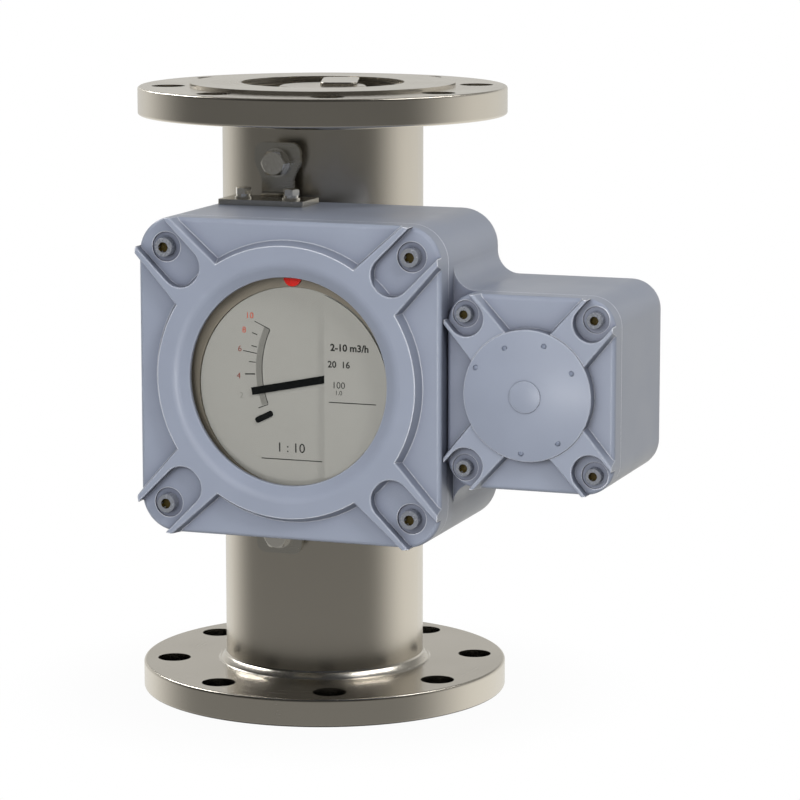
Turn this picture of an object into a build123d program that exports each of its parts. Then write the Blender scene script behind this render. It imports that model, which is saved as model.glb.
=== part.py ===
from build123d import *
from math import cos, hypot, radians, sin, tan
import os

os.makedirs("parts", exist_ok=True)

# Metal tube rotameter, in millimetres. Z is the flow direction, z = 0 is the lower raised face,
# x = y = 0 is the tube axis, and the dial looks towards -Y. A "depth" is a distance towards -Y
# from the tube axis, and an "inset" is a distance into the meter from either raised face.

# Flow tube and flanges
FACE_TO_FACE = 352.0
FLANGE_DIA = 210.0
FLANGE_THICKNESS = 18.0
FLANGE_EDGE = 1.5
RAISED_DIA = 151.0
RAISED_HEIGHT = 2.0
BOLT_CIRCLE = 175.0
BOLT_HOLE_DIA = 19.0
BOLT_COUNT = 8
BORE_DIA = 92.8
TUBE_DIA = 114.3
TUBE_WALL = 4.0
SOCKET_DEPTH = 6.0
WELD_LEG = 4.5
SLIP = 0.1

# Metering cone, guides and their snap rings
CONE_SEAT_DIA = 87.0
THROAT_DIA = 81.6
CONE_TOP_DIA = 92.0
THROAT_START = 200.0
THROAT_END = 206.0
CONE_END = 292.0
CONE_ENTRY = 100.0
CONE_MOUTH = 24.0
HUB_DIA = 50.0
HUB_EDGE = 1.5
HUB_INSET = 2.0
GUIDE_LEDGE = 2.0
GUIDE_RIM = 3.0
GUIDE_ARM_WIDTH = 14.0
LOCK_BAR_WIDTH = 21.0
LOCK_BAR_START = -6.0
LOCK_BAR_END = 40.0
LOCK_BAR_OFFSET = 9.0
LOCK_BAR_TURN = 18.0
LOCK_BAR_CORNER = 5.0
LOCK_BAR_EDGE = 0.8
SNAP_RING_THICKNESS = 1.5
SNAP_RING_WIDTH = 2.6
SNAP_GROOVE_DEPTH = 1.5
SNAP_GAP_ANGLE = 24.0
ROD_DIA = 12.0
ROD_END_INSET = 6.0

# Float, its stops and its travel
FLOAT_TRAVEL = 48.0
FLOAT_DIA = 80.0
FLOAT_STEM_DIA = 26.0
FLOAT_BODY_HEIGHT = 58.0
FLOAT_CONE_START = 12.0
FLOAT_RIM_HEIGHT = 8.0
FLOAT_CROWN_DIA = 48.0
FLOAT_CROWN_HEIGHT = 74.0
FLOAT_HEIGHT = 86.0
FLOAT_BORE_CLEARANCE = 0.6
FLOAT_MAGNET_CENTRE = 42.5
FLOAT_MAGNET_HEIGHT = 15.0
FLOAT_MAGNET_DIA = 40.0
FLOAT_MAGNET_BORE = 24.0
BUSH_DIA = 18.0
BUSH_LENGTH = 10.0
STOP_GAP = 0.3
BUMPER_HEIGHT = 5.0
BUMPER_DIA = 26.0
COLLAR_DIA = 28.0
COLLAR_HEIGHT = 8.0
SET_SCREW_DIA = 4.0

# Indicator housing
WINDOW_X = 41.5
WINDOW_Z = 206.0
HOUSING_GAP = 2.85
HOUSING_SIZE = 170.0
HOUSING_CORNER = 20.0
HOUSING_DEPTH = 90.0
HOUSING_WALL = 5.0
HOUSING_BACK_FILLET = 8.0
CAVITY_CORNER = 6.0
PILLAR = 22.0
TERMINAL_GAP = 0.5
TERMINAL_Z = 205.2
TERMINAL_WIDTH = 91.0
TERMINAL_HEIGHT = 102.4
TERMINAL_CORNER = 16.0
TERMINAL_STEP = 8.0
TERMINAL_WALL = 4.5
TERMINAL_PILLAR = 15.0
NECK_FILLET = 12.5
PASSAGE_DIA = 14.0
PASSAGE_DEPTH = 100.0
ENTRY_DIA = 18.5
ENTRY_SPACING = 36.0
ENTRY_DEPTH = 95.0
ENTRY_PAD = 30.0
ENTRY_PAD_HEIGHT = 8.0

# Covers, in heights above their parting plane
COVER_RIM = 10.0
PANEL_RISE = 2.0
COVER_EDGE = 2.2
RING_TOP = 17.5
RING_WIDTH = 10.2
RING_DRAFT = 2.5
RING_EDGE = 2.0
BEVEL_WIDTH = 6.8
BEVEL_EDGE = 9.0
WINDOW_DIA = 111.0
WINDOW_LIP_TOP = 13.5
WINDOW_LIP = 2.0
WINDOW_LIP_EDGE = 0.8
ARM_DRAFT = 13.0
ARM_HALF_WIDTH = 18.4
ARM_END_HALF_WIDTH = 15.4
ARM_EDGE = 0.9
POCKET_HALF_WIDTH = 11.0
POCKET_BEYOND_SCREW = 24.6
POCKET_CORNER = 10.5
POCKET_EDGE = 0.6
SCREW_INSET = 16.0
COUNTERBORE_DIA = 16.0
COUNTERBORE_DEPTH = 1.5
SEAL_INSET = 1.2
SEAL_WIDTH = 2.4
SEAL_DEPTH = 2.0
TERMINAL_TOP = 17.4
TERMINAL_DISC_DIA = 69.0
TERMINAL_DISC_STEP = 0.9
TERMINAL_DISC_EDGE = 0.5
TERMINAL_DOME = 3.5
TERMINAL_ARM_HALF_WIDTH = 14.2
TERMINAL_ARM_END_HALF_WIDTH = 13.0
TERMINAL_POCKET_HALF_WIDTH = 9.5
TERMINAL_POCKET_BEYOND_SCREW = 11.7
TERMINAL_POCKET_CORNER = 9.3
TERMINAL_SCREW_INSET_X = 10.3
TERMINAL_SCREW_INSET_Z = 10.7
TERMINAL_COUNTERBORE_DIA = 14.0
TERMINAL_COUNTERBORE_DEPTH = 1.0
COVER_SCREW_DIA = 6.0
COVER_SCREW_LENGTH = 25.0
TERMINAL_SCREW_DIA = 5.0
TERMINAL_SCREW_LENGTH = 22.0

# Window glass and what clamps it
GLASS_SEAT = 6.5
GLASS_THICKNESS = 4.0
GLASS_SEAL_THICKNESS = 1.0
CLAMP_OVERLAP = 3.2
CLAMP_RING_WIDTH = 10.2
CLAMP_RING_THICKNESS = 2.0
CLAMP_SCREW_INSET = 3.5
CLAMP_SCREW_DIA = 3.0
CLAMP_SCREW_LENGTH = 7.0
CLAMP_SCREW_COUNT = 6

# Dial and pointer, about the window centre
PIVOT_X = 33.5
PIVOT_Z = 4.3
REST_ANGLE = 11.6
POINTER_LENGTH = 58.6
POINTER_WIDTH = 4.0
POINTER_TAIL = 12.0
POINTER_THICKNESS = 0.7
POINTER_HUB_DIA = 12.0
POINTER_HUB_THICKNESS = 1.6
SIDE_PLATE_X = 18.0
SIDE_PLATE_THICKNESS = 0.6
SIDE_PLATE_GAP = 0.6
HUB_GAP = 0.4
DIAL_MARGIN = 3.6
DIAL_DROP = 4.5
DIAL_THICKNESS = 1.0
DIAL_CLEARANCE = 0.3
SHAFT_HOLE_DIA = 7.0
CARRIER_GAP = 0.5
CARRIER_FLOOR = 2.0
CARRIER_RIM = 4.2
CARRIER_BOSS = 4.0
CARRIER_BOSS_DIA = 10.0
SPACER_X = 36.0
SPACER_Z = 28.0
SPACER_DIA = 4.0
LATCH_DIA = 10.0
LATCH_HEIGHT = 1.6
LATCH_GAP = 0.5
LATCH_SLOT = 1.2
LATCH_SLOT_DEPTH = 0.6
LATCH_MARGIN = 0.7
LIMIT_MARK_RADIUS = 56.6
LIMIT_MARK_ANGLE = 26.5
LIMIT_MARK_LENGTH = 10.4
LIMIT_MARK_WIDTH = 3.2
LIMIT_MARK_HEIGHT = 1.2

# Mechanism frame, shaft and magnets
PLATE_THICKNESS = 2.0
PLATE_GAP_LEFT = 30.0
PLATE_GAP_RIGHT = 18.0
PLATE_GAP_ENDS = 27.0
PLATE_CORNER = 6.0
PILLAR_INSET = 6.0
PILLAR_DIA = 8.0
STUD_DIA = 4.0
STUD_LENGTH = 5.0
BOSS_HEIGHT = 8.0
BOSS_DIA = 10.0
SHAFT_DIA = 3.0
SHAFT_FIT = 0.05
BUSH_BODY_DIA = 7.0
BUSH_FLANGE_DIA = 10.0
BUSH_FLANGE = 1.0
ARM_GAP = 4.0
ARM_WIDTH = 6.0
ARM_THICKNESS = 2.0
ARM_HUB_DIA = 12.0
ARM_HUB_LENGTH = 6.0
FOLLOWER_SIZE = 10.0
FOLLOWER_LENGTH = 12.0
COUNTER_RADIUS = 20.0
COUNTER_WIDTH = 12.0
COUNTER_HEIGHT = 14.0
COUNTER_LENGTH = 9.0
BRAKE_DIA = 44.0
BRAKE_THICKNESS = 1.0
BRAKE_DEPTH = 115.0
BRAKE_HUB_DIA = 8.0
BRAKE_HUB_LENGTH = 6.0
BRAKE_GAP = 1.0
BRAKE_MAGNET_DIA = 10.0
BRAKE_MAGNET_THICKNESS = 3.0
YOKE_WIDTH = 14.0
YOKE_WALL = 3.0
YOKE_INNER = 12.0
YOKE_OUTER = 27.0

# Brackets between the tube and the housing
BRACKET_HALF_WIDTH = 24.8
BRACKET_CORNER = 1.0
BRACKET_FRONT = 97.0
BRACKET_THICKNESS = 3.0
LEG_FRONT = 71.0
LEG_NECK = 9.2
LEG_HALF_WIDTH = 13.4
LEG_SHOULDER = 9.0
LEG_WAIST = 4.0
LEG_OVER_BOLT = 11.0
LEG_CORNER = 5.5
UPPER_REACH = 21.4
LOWER_REACH = 17.0
BRACKET_SCREW_X = 14.0
BRACKET_SCREW_DEPTH = 85.7
BRACKET_SCREW_DIA = 5.0
BRACKET_SCREW_LENGTH = 14.0
BRACKET_PAD = 20.0
BRACKET_PAD_HEIGHT = 8.0
BRACKET_BOLT_DIA = 8.0
BRACKET_BOLT_LENGTH = 12.0
WELD_BOSS_DIA = 18.0

# Terminal compartment fittings
BLOCK_WIDTH = 62.0
BLOCK_HEIGHT = 24.0
BLOCK_DEPTH = 16.0
BLOCK_WAYS = 6
BLOCK_SCREW_DIA = 5.0
BLOCK_FOOT = 6.0
PLUG_HEX = 24.0
PLUG_HEAD = 5.0
PLUG_LENGTH = 9.0
PLUG_SEAL = 1.5

# Derived sizes and places
bore_radius = BORE_DIA / 2
tube_radius = TUBE_DIA / 2
tube_bore_radius = tube_radius - TUBE_WALL
seat_inset = FLANGE_THICKNESS - SOCKET_DEPTH
housing_back = tube_radius + HOUSING_GAP
inner_back = housing_back + HOUSING_WALL
parting = housing_back + HOUSING_DEPTH
terminal_parting = parting - TERMINAL_STEP
terminal_back = housing_back + TERMINAL_WALL
cavity_size = HOUSING_SIZE - 2 * HOUSING_WALL
plate_left = cavity_size / 2 - PLATE_GAP_LEFT
plate_right = cavity_size / 2 - PLATE_GAP_RIGHT
plate_half_height = cavity_size / 2 - PLATE_GAP_ENDS
dial_dia = WINDOW_DIA - DIAL_MARGIN
latch_z = WINDOW_DIA / 2 - LATCH_MARGIN
housing_right = WINDOW_X + HOUSING_SIZE / 2
terminal_x = housing_right + TERMINAL_GAP + TERMINAL_WIDTH / 2
terminal_right = terminal_x + TERMINAL_WIDTH / 2
terminal_floor = TERMINAL_Z - TERMINAL_HEIGHT / 2
screw_offset = HOUSING_SIZE / 2 - SCREW_INSET
terminal_screw_x = TERMINAL_WIDTH / 2 - TERMINAL_SCREW_INSET_X
terminal_screw_z = TERMINAL_HEIGHT / 2 - TERMINAL_SCREW_INSET_Z
bevel_dia = WINDOW_DIA + 2 * BEVEL_WIDTH
ring_dia = bevel_dia + 2 * RING_WIDTH
ring_base_dia = ring_dia + 2 * RING_DRAFT
glass_dia = WINDOW_DIA + 2 * GLASS_SEAT
clamp_ring_bore = glass_dia - 2 * CLAMP_OVERLAP
clamp_ring_dia = clamp_ring_bore + 2 * CLAMP_RING_WIDTH
clamp_screw_circle = clamp_ring_dia - 2 * CLAMP_SCREW_INSET
clamp_screw_head_dia = 1.8 * CLAMP_SCREW_DIA
carrier_dia = clamp_screw_circle - clamp_screw_head_dia - 2 * CARRIER_GAP
ring_top = parting + RING_TOP
main_panel = parting + COVER_RIM + PANEL_RISE
terminal_panel = terminal_parting + COVER_RIM + PANEL_RISE
lip_back = parting + WINDOW_LIP_TOP - WINDOW_LIP
glass_front = lip_back - GLASS_SEAL_THICKNESS
glass_back = glass_front - GLASS_THICKNESS
clamp_back = glass_back - CLAMP_RING_THICKNESS
side_plate_back = glass_back - SIDE_PLATE_GAP - SIDE_PLATE_THICKNESS
hub_front = side_plate_back - HUB_GAP
dial_front = hub_front - POINTER_HUB_THICKNESS - DIAL_CLEARANCE
dial_back = dial_front - DIAL_THICKNESS
front_plate_front = dial_back - CARRIER_FLOOR - CARRIER_BOSS
front_plate_back = front_plate_front - PLATE_THICKNESS
rear_plate_back = inner_back + BOSS_HEIGHT
rear_plate_front = rear_plate_back + PLATE_THICKNESS
arm_back = rear_plate_front + ARM_GAP
arm_front = arm_back + ARM_THICKNESS
pivot_x = WINDOW_X + PIVOT_X
pivot_z = WINDOW_Z + PIVOT_Z
arm_length = pivot_x / cos(radians(REST_ANGLE))
float_base = pivot_z - pivot_x * tan(radians(REST_ANGLE)) - FLOAT_MAGNET_CENTRE
float_top = float_base + FLOAT_HEIGHT
lower_stop = float_base - STOP_GAP
upper_stop = float_top + FLOAT_TRAVEL + STOP_GAP
rod_radius = ROD_DIA / 2
lower_end = Plane.XZ
upper_end = Plane(origin=(0, 0, FACE_TO_FACE), x_dir=(1, 0, 0), z_dir=(0, 1, 0))
window_axis = Axis((WINDOW_X, 0, WINDOW_Z), (0, -1, 0))
terminal_axis = Axis((terminal_x, 0, TERMINAL_Z), (0, -1, 0))
pivot_axis = Axis((pivot_x, 0, pivot_z), (0, -1, 0))


def facing(x, depth, z):
    """Sketch plane at a depth, facing the reader of the dial, with its origin at x, z."""
    return Plane(origin=(x, -depth, z), x_dir=(1, 0, 0), z_dir=(0, -1, 0))


def window_plane(depth):
    return facing(WINDOW_X, depth, WINDOW_Z)


def terminal_plane(depth):
    return facing(terminal_x, depth, TERMINAL_Z)


def pivot_plane(depth):
    return facing(pivot_x, depth, pivot_z)


def spun(plane, angle):
    """The same sketch plane, turned about its own normal by an angle in degrees."""
    return Plane(plane.location * Location((0, 0, 0), (0, 0, angle)))


def section_through(x, z):
    """Half-section plane of a part turned about an axis along Y: x is radius, y is depth."""
    return Plane(origin=(x, 0, z), x_dir=(1, 0, 0), z_dir=(0, 0, -1))


def turned(plane, axis, *outline):
    """Solid of revolution from a closed outline of radius and height pairs."""
    with BuildPart() as piece:
        with BuildSketch(plane):
            Polygon(*outline)
        revolve(axis=axis)
    return piece


def disc_about(x, z, back, front, outer, inner=0.0):
    """Disc or washer about an axis along Y, between two depths."""
    with BuildPart() as piece:
        with BuildSketch(facing(x, back, z)):
            Circle(outer)
            if inner:
                Circle(inner, mode=Mode.SUBTRACT)
        extrude(amount=front - back)
    return piece


# Slip-on flanges: raised face outside, socket for the tube inside, snap ring groove in the bore
snap_back = HUB_INSET + GUIDE_LEDGE
snap_front = snap_back - SNAP_RING_THICKNESS
snap_root = bore_radius + SNAP_GROOVE_DEPTH


def flange(end, middle):
    with BuildPart() as piece:
        with BuildSketch(end):
            Polygon(
                (bore_radius, 0),
                (RAISED_DIA / 2, 0),
                (RAISED_DIA / 2, RAISED_HEIGHT),
                (FLANGE_DIA / 2, RAISED_HEIGHT),
                (FLANGE_DIA / 2, FLANGE_THICKNESS),
                (tube_radius + SLIP, FLANGE_THICKNESS),
                (tube_radius + SLIP, seat_inset),
                (bore_radius, seat_inset),
                (bore_radius, snap_back),
                (snap_root, snap_back),
                (snap_root, snap_front - SLIP),
                (bore_radius, snap_front - SLIP),
            )
        revolve(axis=Axis.Z)
        rim = piece.edges().filter_by(GeomType.CIRCLE).sort_by(SortBy.RADIUS)[-2:]
        fillet(rim, FLANGE_EDGE)
        with Locations((0, 0, middle)):
            with PolarLocations(BOLT_CIRCLE / 2, BOLT_COUNT, start_angle=180 / BOLT_COUNT):
                Cylinder(BOLT_HOLE_DIA / 2, 2 * FLANGE_THICKNESS, mode=Mode.SUBTRACT)
    return piece


lower_flange = flange(lower_end, 0)
lower_flange.part.label = "lower_flange"
export_step(lower_flange.part, "parts/lower_flange.step")

upper_flange = flange(upper_end, FACE_TO_FACE)
upper_flange.part.label = "upper_flange"
export_step(upper_flange.part, "parts/upper_flange.step")

# Measuring tube between the two sockets
with BuildPart() as measuring_tube:
    with BuildSketch(Plane.XY.offset(seat_inset)):
        Circle(tube_radius)
        Circle(tube_bore_radius, mode=Mode.SUBTRACT)
    extrude(amount=FACE_TO_FACE - 2 * seat_inset)
measuring_tube.part.label = "measuring_tube"
export_step(measuring_tube.part, "parts/measuring_tube.step")


def weld_bead(end):
    """Fillet weld with a hollow face, between the tube and a flange's back."""
    with BuildPart() as piece:
        with BuildSketch(end):
            with BuildLine():
                heel = (tube_radius, FLANGE_THICKNESS)
                toe = (tube_radius + WELD_LEG, FLANGE_THICKNESS)
                crest = (tube_radius, FLANGE_THICKNESS + WELD_LEG)
                Line(heel, toe)
                RadiusArc(toe, crest, 2 * WELD_LEG)
                Line(crest, heel)
            make_face()
        revolve(axis=Axis.Z)
    return piece


with BuildPart() as weld_beads:
    add(weld_bead(lower_end).part)
    add(weld_bead(upper_end).part)
weld_beads.part.label = "weld_beads"
export_step(weld_beads.part, "parts/weld_beads.step")

# Metering cone: throat at the float's rim at rest, opening upwards, with a seat at each end
cone_outer = tube_bore_radius - SLIP
seat_radius = CONE_SEAT_DIA / 2
throat_radius = THROAT_DIA / 2
cone_top_radius = CONE_TOP_DIA / 2
cone_top = FACE_TO_FACE - seat_inset
metering_cone = turned(
    Plane.XZ,
    Axis.Z,
    (seat_radius, seat_inset),
    (cone_outer, seat_inset),
    (cone_outer, cone_top),
    (seat_radius, cone_top),
    (seat_radius, cone_top - CONE_MOUTH / 2),
    (cone_top_radius, cone_top - CONE_MOUTH),
    (cone_top_radius, CONE_END),
    (throat_radius, THROAT_END),
    (throat_radius, THROAT_START),
    (seat_radius, CONE_ENTRY),
)
metering_cone.part.label = "metering_cone"
export_step(metering_cone.part, "parts/metering_cone.step")


# Guides: a hub on two arms in a rim that seats on the end of the cone
def guide(end, lock_bar):
    rim_radius = bore_radius - SLIP
    with BuildPart() as piece:
        with BuildSketch(end):
            Polygon(
                (0, HUB_INSET),
                (HUB_DIA / 2, HUB_INSET),
                (HUB_DIA / 2, seat_inset),
                (rod_radius + SLIP, seat_inset),
                (rod_radius + SLIP, ROD_END_INSET - SLIP),
                (0, ROD_END_INSET - SLIP),
            )
        revolve(axis=Axis.Z)
        with BuildSketch(end):
            Polygon(
                (rim_radius - GUIDE_RIM, snap_back),
                (rim_radius, snap_back),
                (rim_radius, seat_inset),
                (rim_radius - GUIDE_RIM, seat_inset),
            )
        revolve(axis=Axis.Z)
        hub_edge = piece.edges().filter_by(GeomType.CIRCLE).filter_by(
            lambda edge: abs(edge.radius - HUB_DIA / 2) < 0.01
        ).sort_by(Axis.Z)
        fillet(hub_edge[-1] if lock_bar else hub_edge[0], HUB_EDGE)
        arm_length = rim_radius - GUIDE_RIM / 2 - HUB_DIA / 2 + HUB_EDGE + 1
        for side in (-1, 1):
            arm_middle = side * (HUB_DIA / 2 - HUB_EDGE - 1 + arm_length / 2)
            low = end.from_local_coords((0, snap_back)).Z
            high = end.from_local_coords((0, seat_inset)).Z
            with Locations((0, arm_middle, (low + high) / 2)):
                Box(GUIDE_ARM_WIDTH, arm_length, abs(high - low))
        if lock_bar:
            # Raised bar that a key turns to lock the guide, its top level with the flange face
            bar_middle = (LOCK_BAR_OFFSET, (LOCK_BAR_START + LOCK_BAR_END) / 2)
            bar_length = LOCK_BAR_END - LOCK_BAR_START
            with BuildSketch(spun(Plane.XY.offset(FACE_TO_FACE - HUB_INSET), LOCK_BAR_TURN)):
                with Locations(bar_middle):
                    RectangleRounded(LOCK_BAR_WIDTH, bar_length, LOCK_BAR_CORNER)
            extrude(amount=HUB_INSET)
            fillet(piece.faces().sort_by(Axis.Z)[-1].edges(), LOCK_BAR_EDGE)
    return piece


lower_guide = guide(lower_end, lock_bar=False)
lower_guide.part.label = "lower_guide"
export_step(lower_guide.part, "parts/lower_guide.step")

upper_guide = guide(upper_end, lock_bar=True)
upper_guide.part.label = "upper_guide"
export_step(upper_guide.part, "parts/upper_guide.step")


# Snap rings in the bore grooves, open at the right, each holding its guide on the cone
def snap_ring(end):
    outer = snap_root - SLIP
    inner = outer - SNAP_RING_WIDTH
    with BuildPart() as piece:
        with BuildSketch(end):
            Polygon(
                (inner, snap_front),
                (outer, snap_front),
                (outer, snap_back),
                (inner, snap_back),
            )
        revolve(axis=Axis.Z)
        with BuildSketch(Plane.XY):
            reach = 2 * outer
            spread = reach * tan(radians(SNAP_GAP_ANGLE / 2))
            Polygon((0, 0), (reach, -spread), (reach, spread))
        extrude(amount=FACE_TO_FACE, mode=Mode.SUBTRACT)
    return piece


with BuildPart() as snap_rings:
    add(snap_ring(lower_end).part)
    add(snap_ring(upper_end).part)
snap_rings.part.label = "snap_rings"
export_step(snap_rings.part, "parts/snap_rings.step")

# Guide rod, held between the two hubs
with BuildPart() as guide_rod:
    with BuildSketch(Plane.XY.offset(ROD_END_INSET - SLIP)):
        Circle(rod_radius)
    extrude(amount=FACE_TO_FACE - 2 * ROD_END_INSET)
    chamfer(guide_rod.edges().filter_by(GeomType.CIRCLE), 1)
guide_rod.part.label = "guide_rod"
export_step(guide_rod.part, "parts/guide_rod.step")

# Stop collars on the rod, with rubber bumpers between them and the float
collar_places = (
    lower_stop - BUMPER_HEIGHT - COLLAR_HEIGHT,
    upper_stop + BUMPER_HEIGHT,
)
bumper_places = (lower_stop - BUMPER_HEIGHT, upper_stop)

with BuildPart() as stop_collars:
    for base in collar_places:
        with BuildSketch(Plane.XY.offset(base)):
            Circle(COLLAR_DIA / 2)
            Circle(rod_radius + SLIP / 2, mode=Mode.SUBTRACT)
        extrude(amount=COLLAR_HEIGHT)
    for base in collar_places:
        with BuildSketch(Plane.XZ.offset(rod_radius)):
            with Locations((0, base + COLLAR_HEIGHT / 2)):
                Circle(SET_SCREW_DIA / 2)
        extrude(amount=COLLAR_DIA, mode=Mode.SUBTRACT)
stop_collars.part.label = "stop_collars"
export_step(stop_collars.part, "parts/stop_collars.step")

with BuildPart() as set_screws:
    for base in collar_places:
        with BuildSketch(Plane.XZ.offset(rod_radius)):
            with Locations((0, base + COLLAR_HEIGHT / 2)):
                Circle(SET_SCREW_DIA / 2 - SLIP / 2)
        extrude(amount=COLLAR_DIA / 2 - rod_radius - 1)
    for base in collar_places:
        with BuildSketch(Plane.XZ.offset(COLLAR_DIA / 2 - 1)):
            with Locations((0, base + COLLAR_HEIGHT / 2)):
                RegularPolygon(SET_SCREW_DIA / 4, 6)
        extrude(amount=-2, mode=Mode.SUBTRACT)
set_screws.part.label = "set_screws"
export_step(set_screws.part, "parts/set_screws.step")

with BuildPart() as bumpers:
    for base in bumper_places:
        with BuildSketch(Plane.XY.offset(base)):
            Circle(BUMPER_DIA / 2)
            Circle(rod_radius + SLIP / 2, mode=Mode.SUBTRACT)
        extrude(amount=BUMPER_HEIGHT)
bumpers.part.label = "bumpers"
export_step(bumpers.part, "parts/bumpers.step")

# Float: a cone under a sharp metering rim, its magnet in a pocket that the head closes
float_section = Plane(origin=(0, 0, float_base), x_dir=(1, 0, 0), z_dir=(0, -1, 0))
float_bore = rod_radius + FLOAT_BORE_CLEARANCE
bush_radius = BUSH_DIA / 2
magnet_low = FLOAT_MAGNET_CENTRE - FLOAT_MAGNET_HEIGHT / 2
magnet_high = FLOAT_MAGNET_CENTRE + FLOAT_MAGNET_HEIGHT / 2
magnet_outer = FLOAT_MAGNET_DIA / 2
magnet_inner = FLOAT_MAGNET_BORE / 2
float_radius = FLOAT_DIA / 2
stem_radius = FLOAT_STEM_DIA / 2

float_body = turned(
    float_section,
    Axis.Z,
    (bush_radius, 0),
    (stem_radius, 0),
    (stem_radius, FLOAT_CONE_START),
    (float_radius - 1, FLOAT_BODY_HEIGHT),
    (magnet_outer + SLIP, FLOAT_BODY_HEIGHT),
    (magnet_outer + SLIP, magnet_low),
    (magnet_inner - SLIP, magnet_low),
    (magnet_inner - SLIP, FLOAT_BODY_HEIGHT),
    (float_bore, FLOAT_BODY_HEIGHT),
    (float_bore, BUSH_LENGTH),
    (bush_radius, BUSH_LENGTH),
)
float_body.part.label = "float_body"
export_step(float_body.part, "parts/float_body.step")

float_head = turned(
    float_section,
    Axis.Z,
    (float_bore, FLOAT_BODY_HEIGHT),
    (magnet_inner, FLOAT_BODY_HEIGHT),
    (magnet_inner, magnet_high),
    (magnet_outer, magnet_high),
    (magnet_outer, FLOAT_BODY_HEIGHT),
    (float_radius - 1, FLOAT_BODY_HEIGHT),
    (float_radius, FLOAT_BODY_HEIGHT + 1),
    (float_radius, FLOAT_BODY_HEIGHT + FLOAT_RIM_HEIGHT),
    (FLOAT_CROWN_DIA / 2, FLOAT_CROWN_HEIGHT),
    (stem_radius, FLOAT_CROWN_HEIGHT),
    (stem_radius, FLOAT_HEIGHT),
    (bush_radius, FLOAT_HEIGHT),
    (bush_radius, FLOAT_HEIGHT - BUSH_LENGTH),
    (float_bore, FLOAT_HEIGHT - BUSH_LENGTH),
)
float_head.part.label = "float_head"
export_step(float_head.part, "parts/float_head.step")

float_magnet = turned(
    float_section,
    Axis.Z,
    (magnet_inner, magnet_low),
    (magnet_outer, magnet_low),
    (magnet_outer, magnet_high),
    (magnet_inner, magnet_high),
)
float_magnet.part.label = "float_magnet"
export_step(float_magnet.part, "parts/float_magnet.step")

with BuildPart() as float_bushes:
    for base in (float_base, float_top - BUSH_LENGTH):
        with BuildSketch(Plane.XY.offset(base)):
            Circle(bush_radius - SHAFT_FIT)
            Circle(rod_radius + SLIP, mode=Mode.SUBTRACT)
        extrude(amount=BUSH_LENGTH)
float_bushes.part.label = "float_bushes"
export_step(float_bushes.part, "parts/float_bushes.step")


# Indicator housing: one casting, the gauge compartment and the lower terminal compartment
def cavity_outline(width, height, screw_x, screw_z, pillar):
    """Compartment outline with a square corner left solid round each cover screw."""
    with BuildSketch() as outline:
        Rectangle(width, height)
        with GridLocations(2 * screw_x, 2 * screw_z, 2, 2):
            Rectangle(pillar, pillar, mode=Mode.SUBTRACT)
        overrun_x = screw_x + pillar / 2
        overrun_z = screw_z + pillar / 2
        with GridLocations(width + overrun_x, height + overrun_z, 2, 2):
            Rectangle(overrun_x, overrun_z, mode=Mode.SUBTRACT)
        inner = outline.vertices().filter_by(
            lambda v: abs(v.X) < screw_x and abs(v.Y) < screw_z
        )
        fillet(inner, CAVITY_CORNER)
    return outline.sketch


main_cavity = cavity_outline(cavity_size, cavity_size, screw_offset, screw_offset, PILLAR)
terminal_cavity = cavity_outline(
    TERMINAL_WIDTH - 2 * TERMINAL_WALL,
    TERMINAL_HEIGHT - 2 * TERMINAL_WALL,
    terminal_screw_x,
    terminal_screw_z,
    TERMINAL_PILLAR,
)
pillar_x = (-plate_left + PILLAR_INSET, plate_right - PILLAR_INSET)
pillar_z = (-plate_half_height + PILLAR_INSET, plate_half_height - PILLAR_INSET)
pillar_places = [(x, z) for x in pillar_x for z in pillar_z]
terminal_screw_places = [
    (x, z)
    for x in (-terminal_screw_x, terminal_screw_x)
    for z in (-terminal_screw_z, terminal_screw_z)
]
cover_screw_places = [
    (x, z) for x in (-screw_offset, screw_offset) for z in (-screw_offset, screw_offset)
]
entry_places = [terminal_x - ENTRY_SPACING / 2, terminal_x + ENTRY_SPACING / 2]
housing_top = WINDOW_Z + HOUSING_SIZE / 2
housing_bottom = WINDOW_Z - HOUSING_SIZE / 2
block_foot_places = (-BLOCK_WIDTH / 2 + BLOCK_FOOT / 2, BLOCK_WIDTH / 2 - BLOCK_FOOT / 2)

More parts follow.
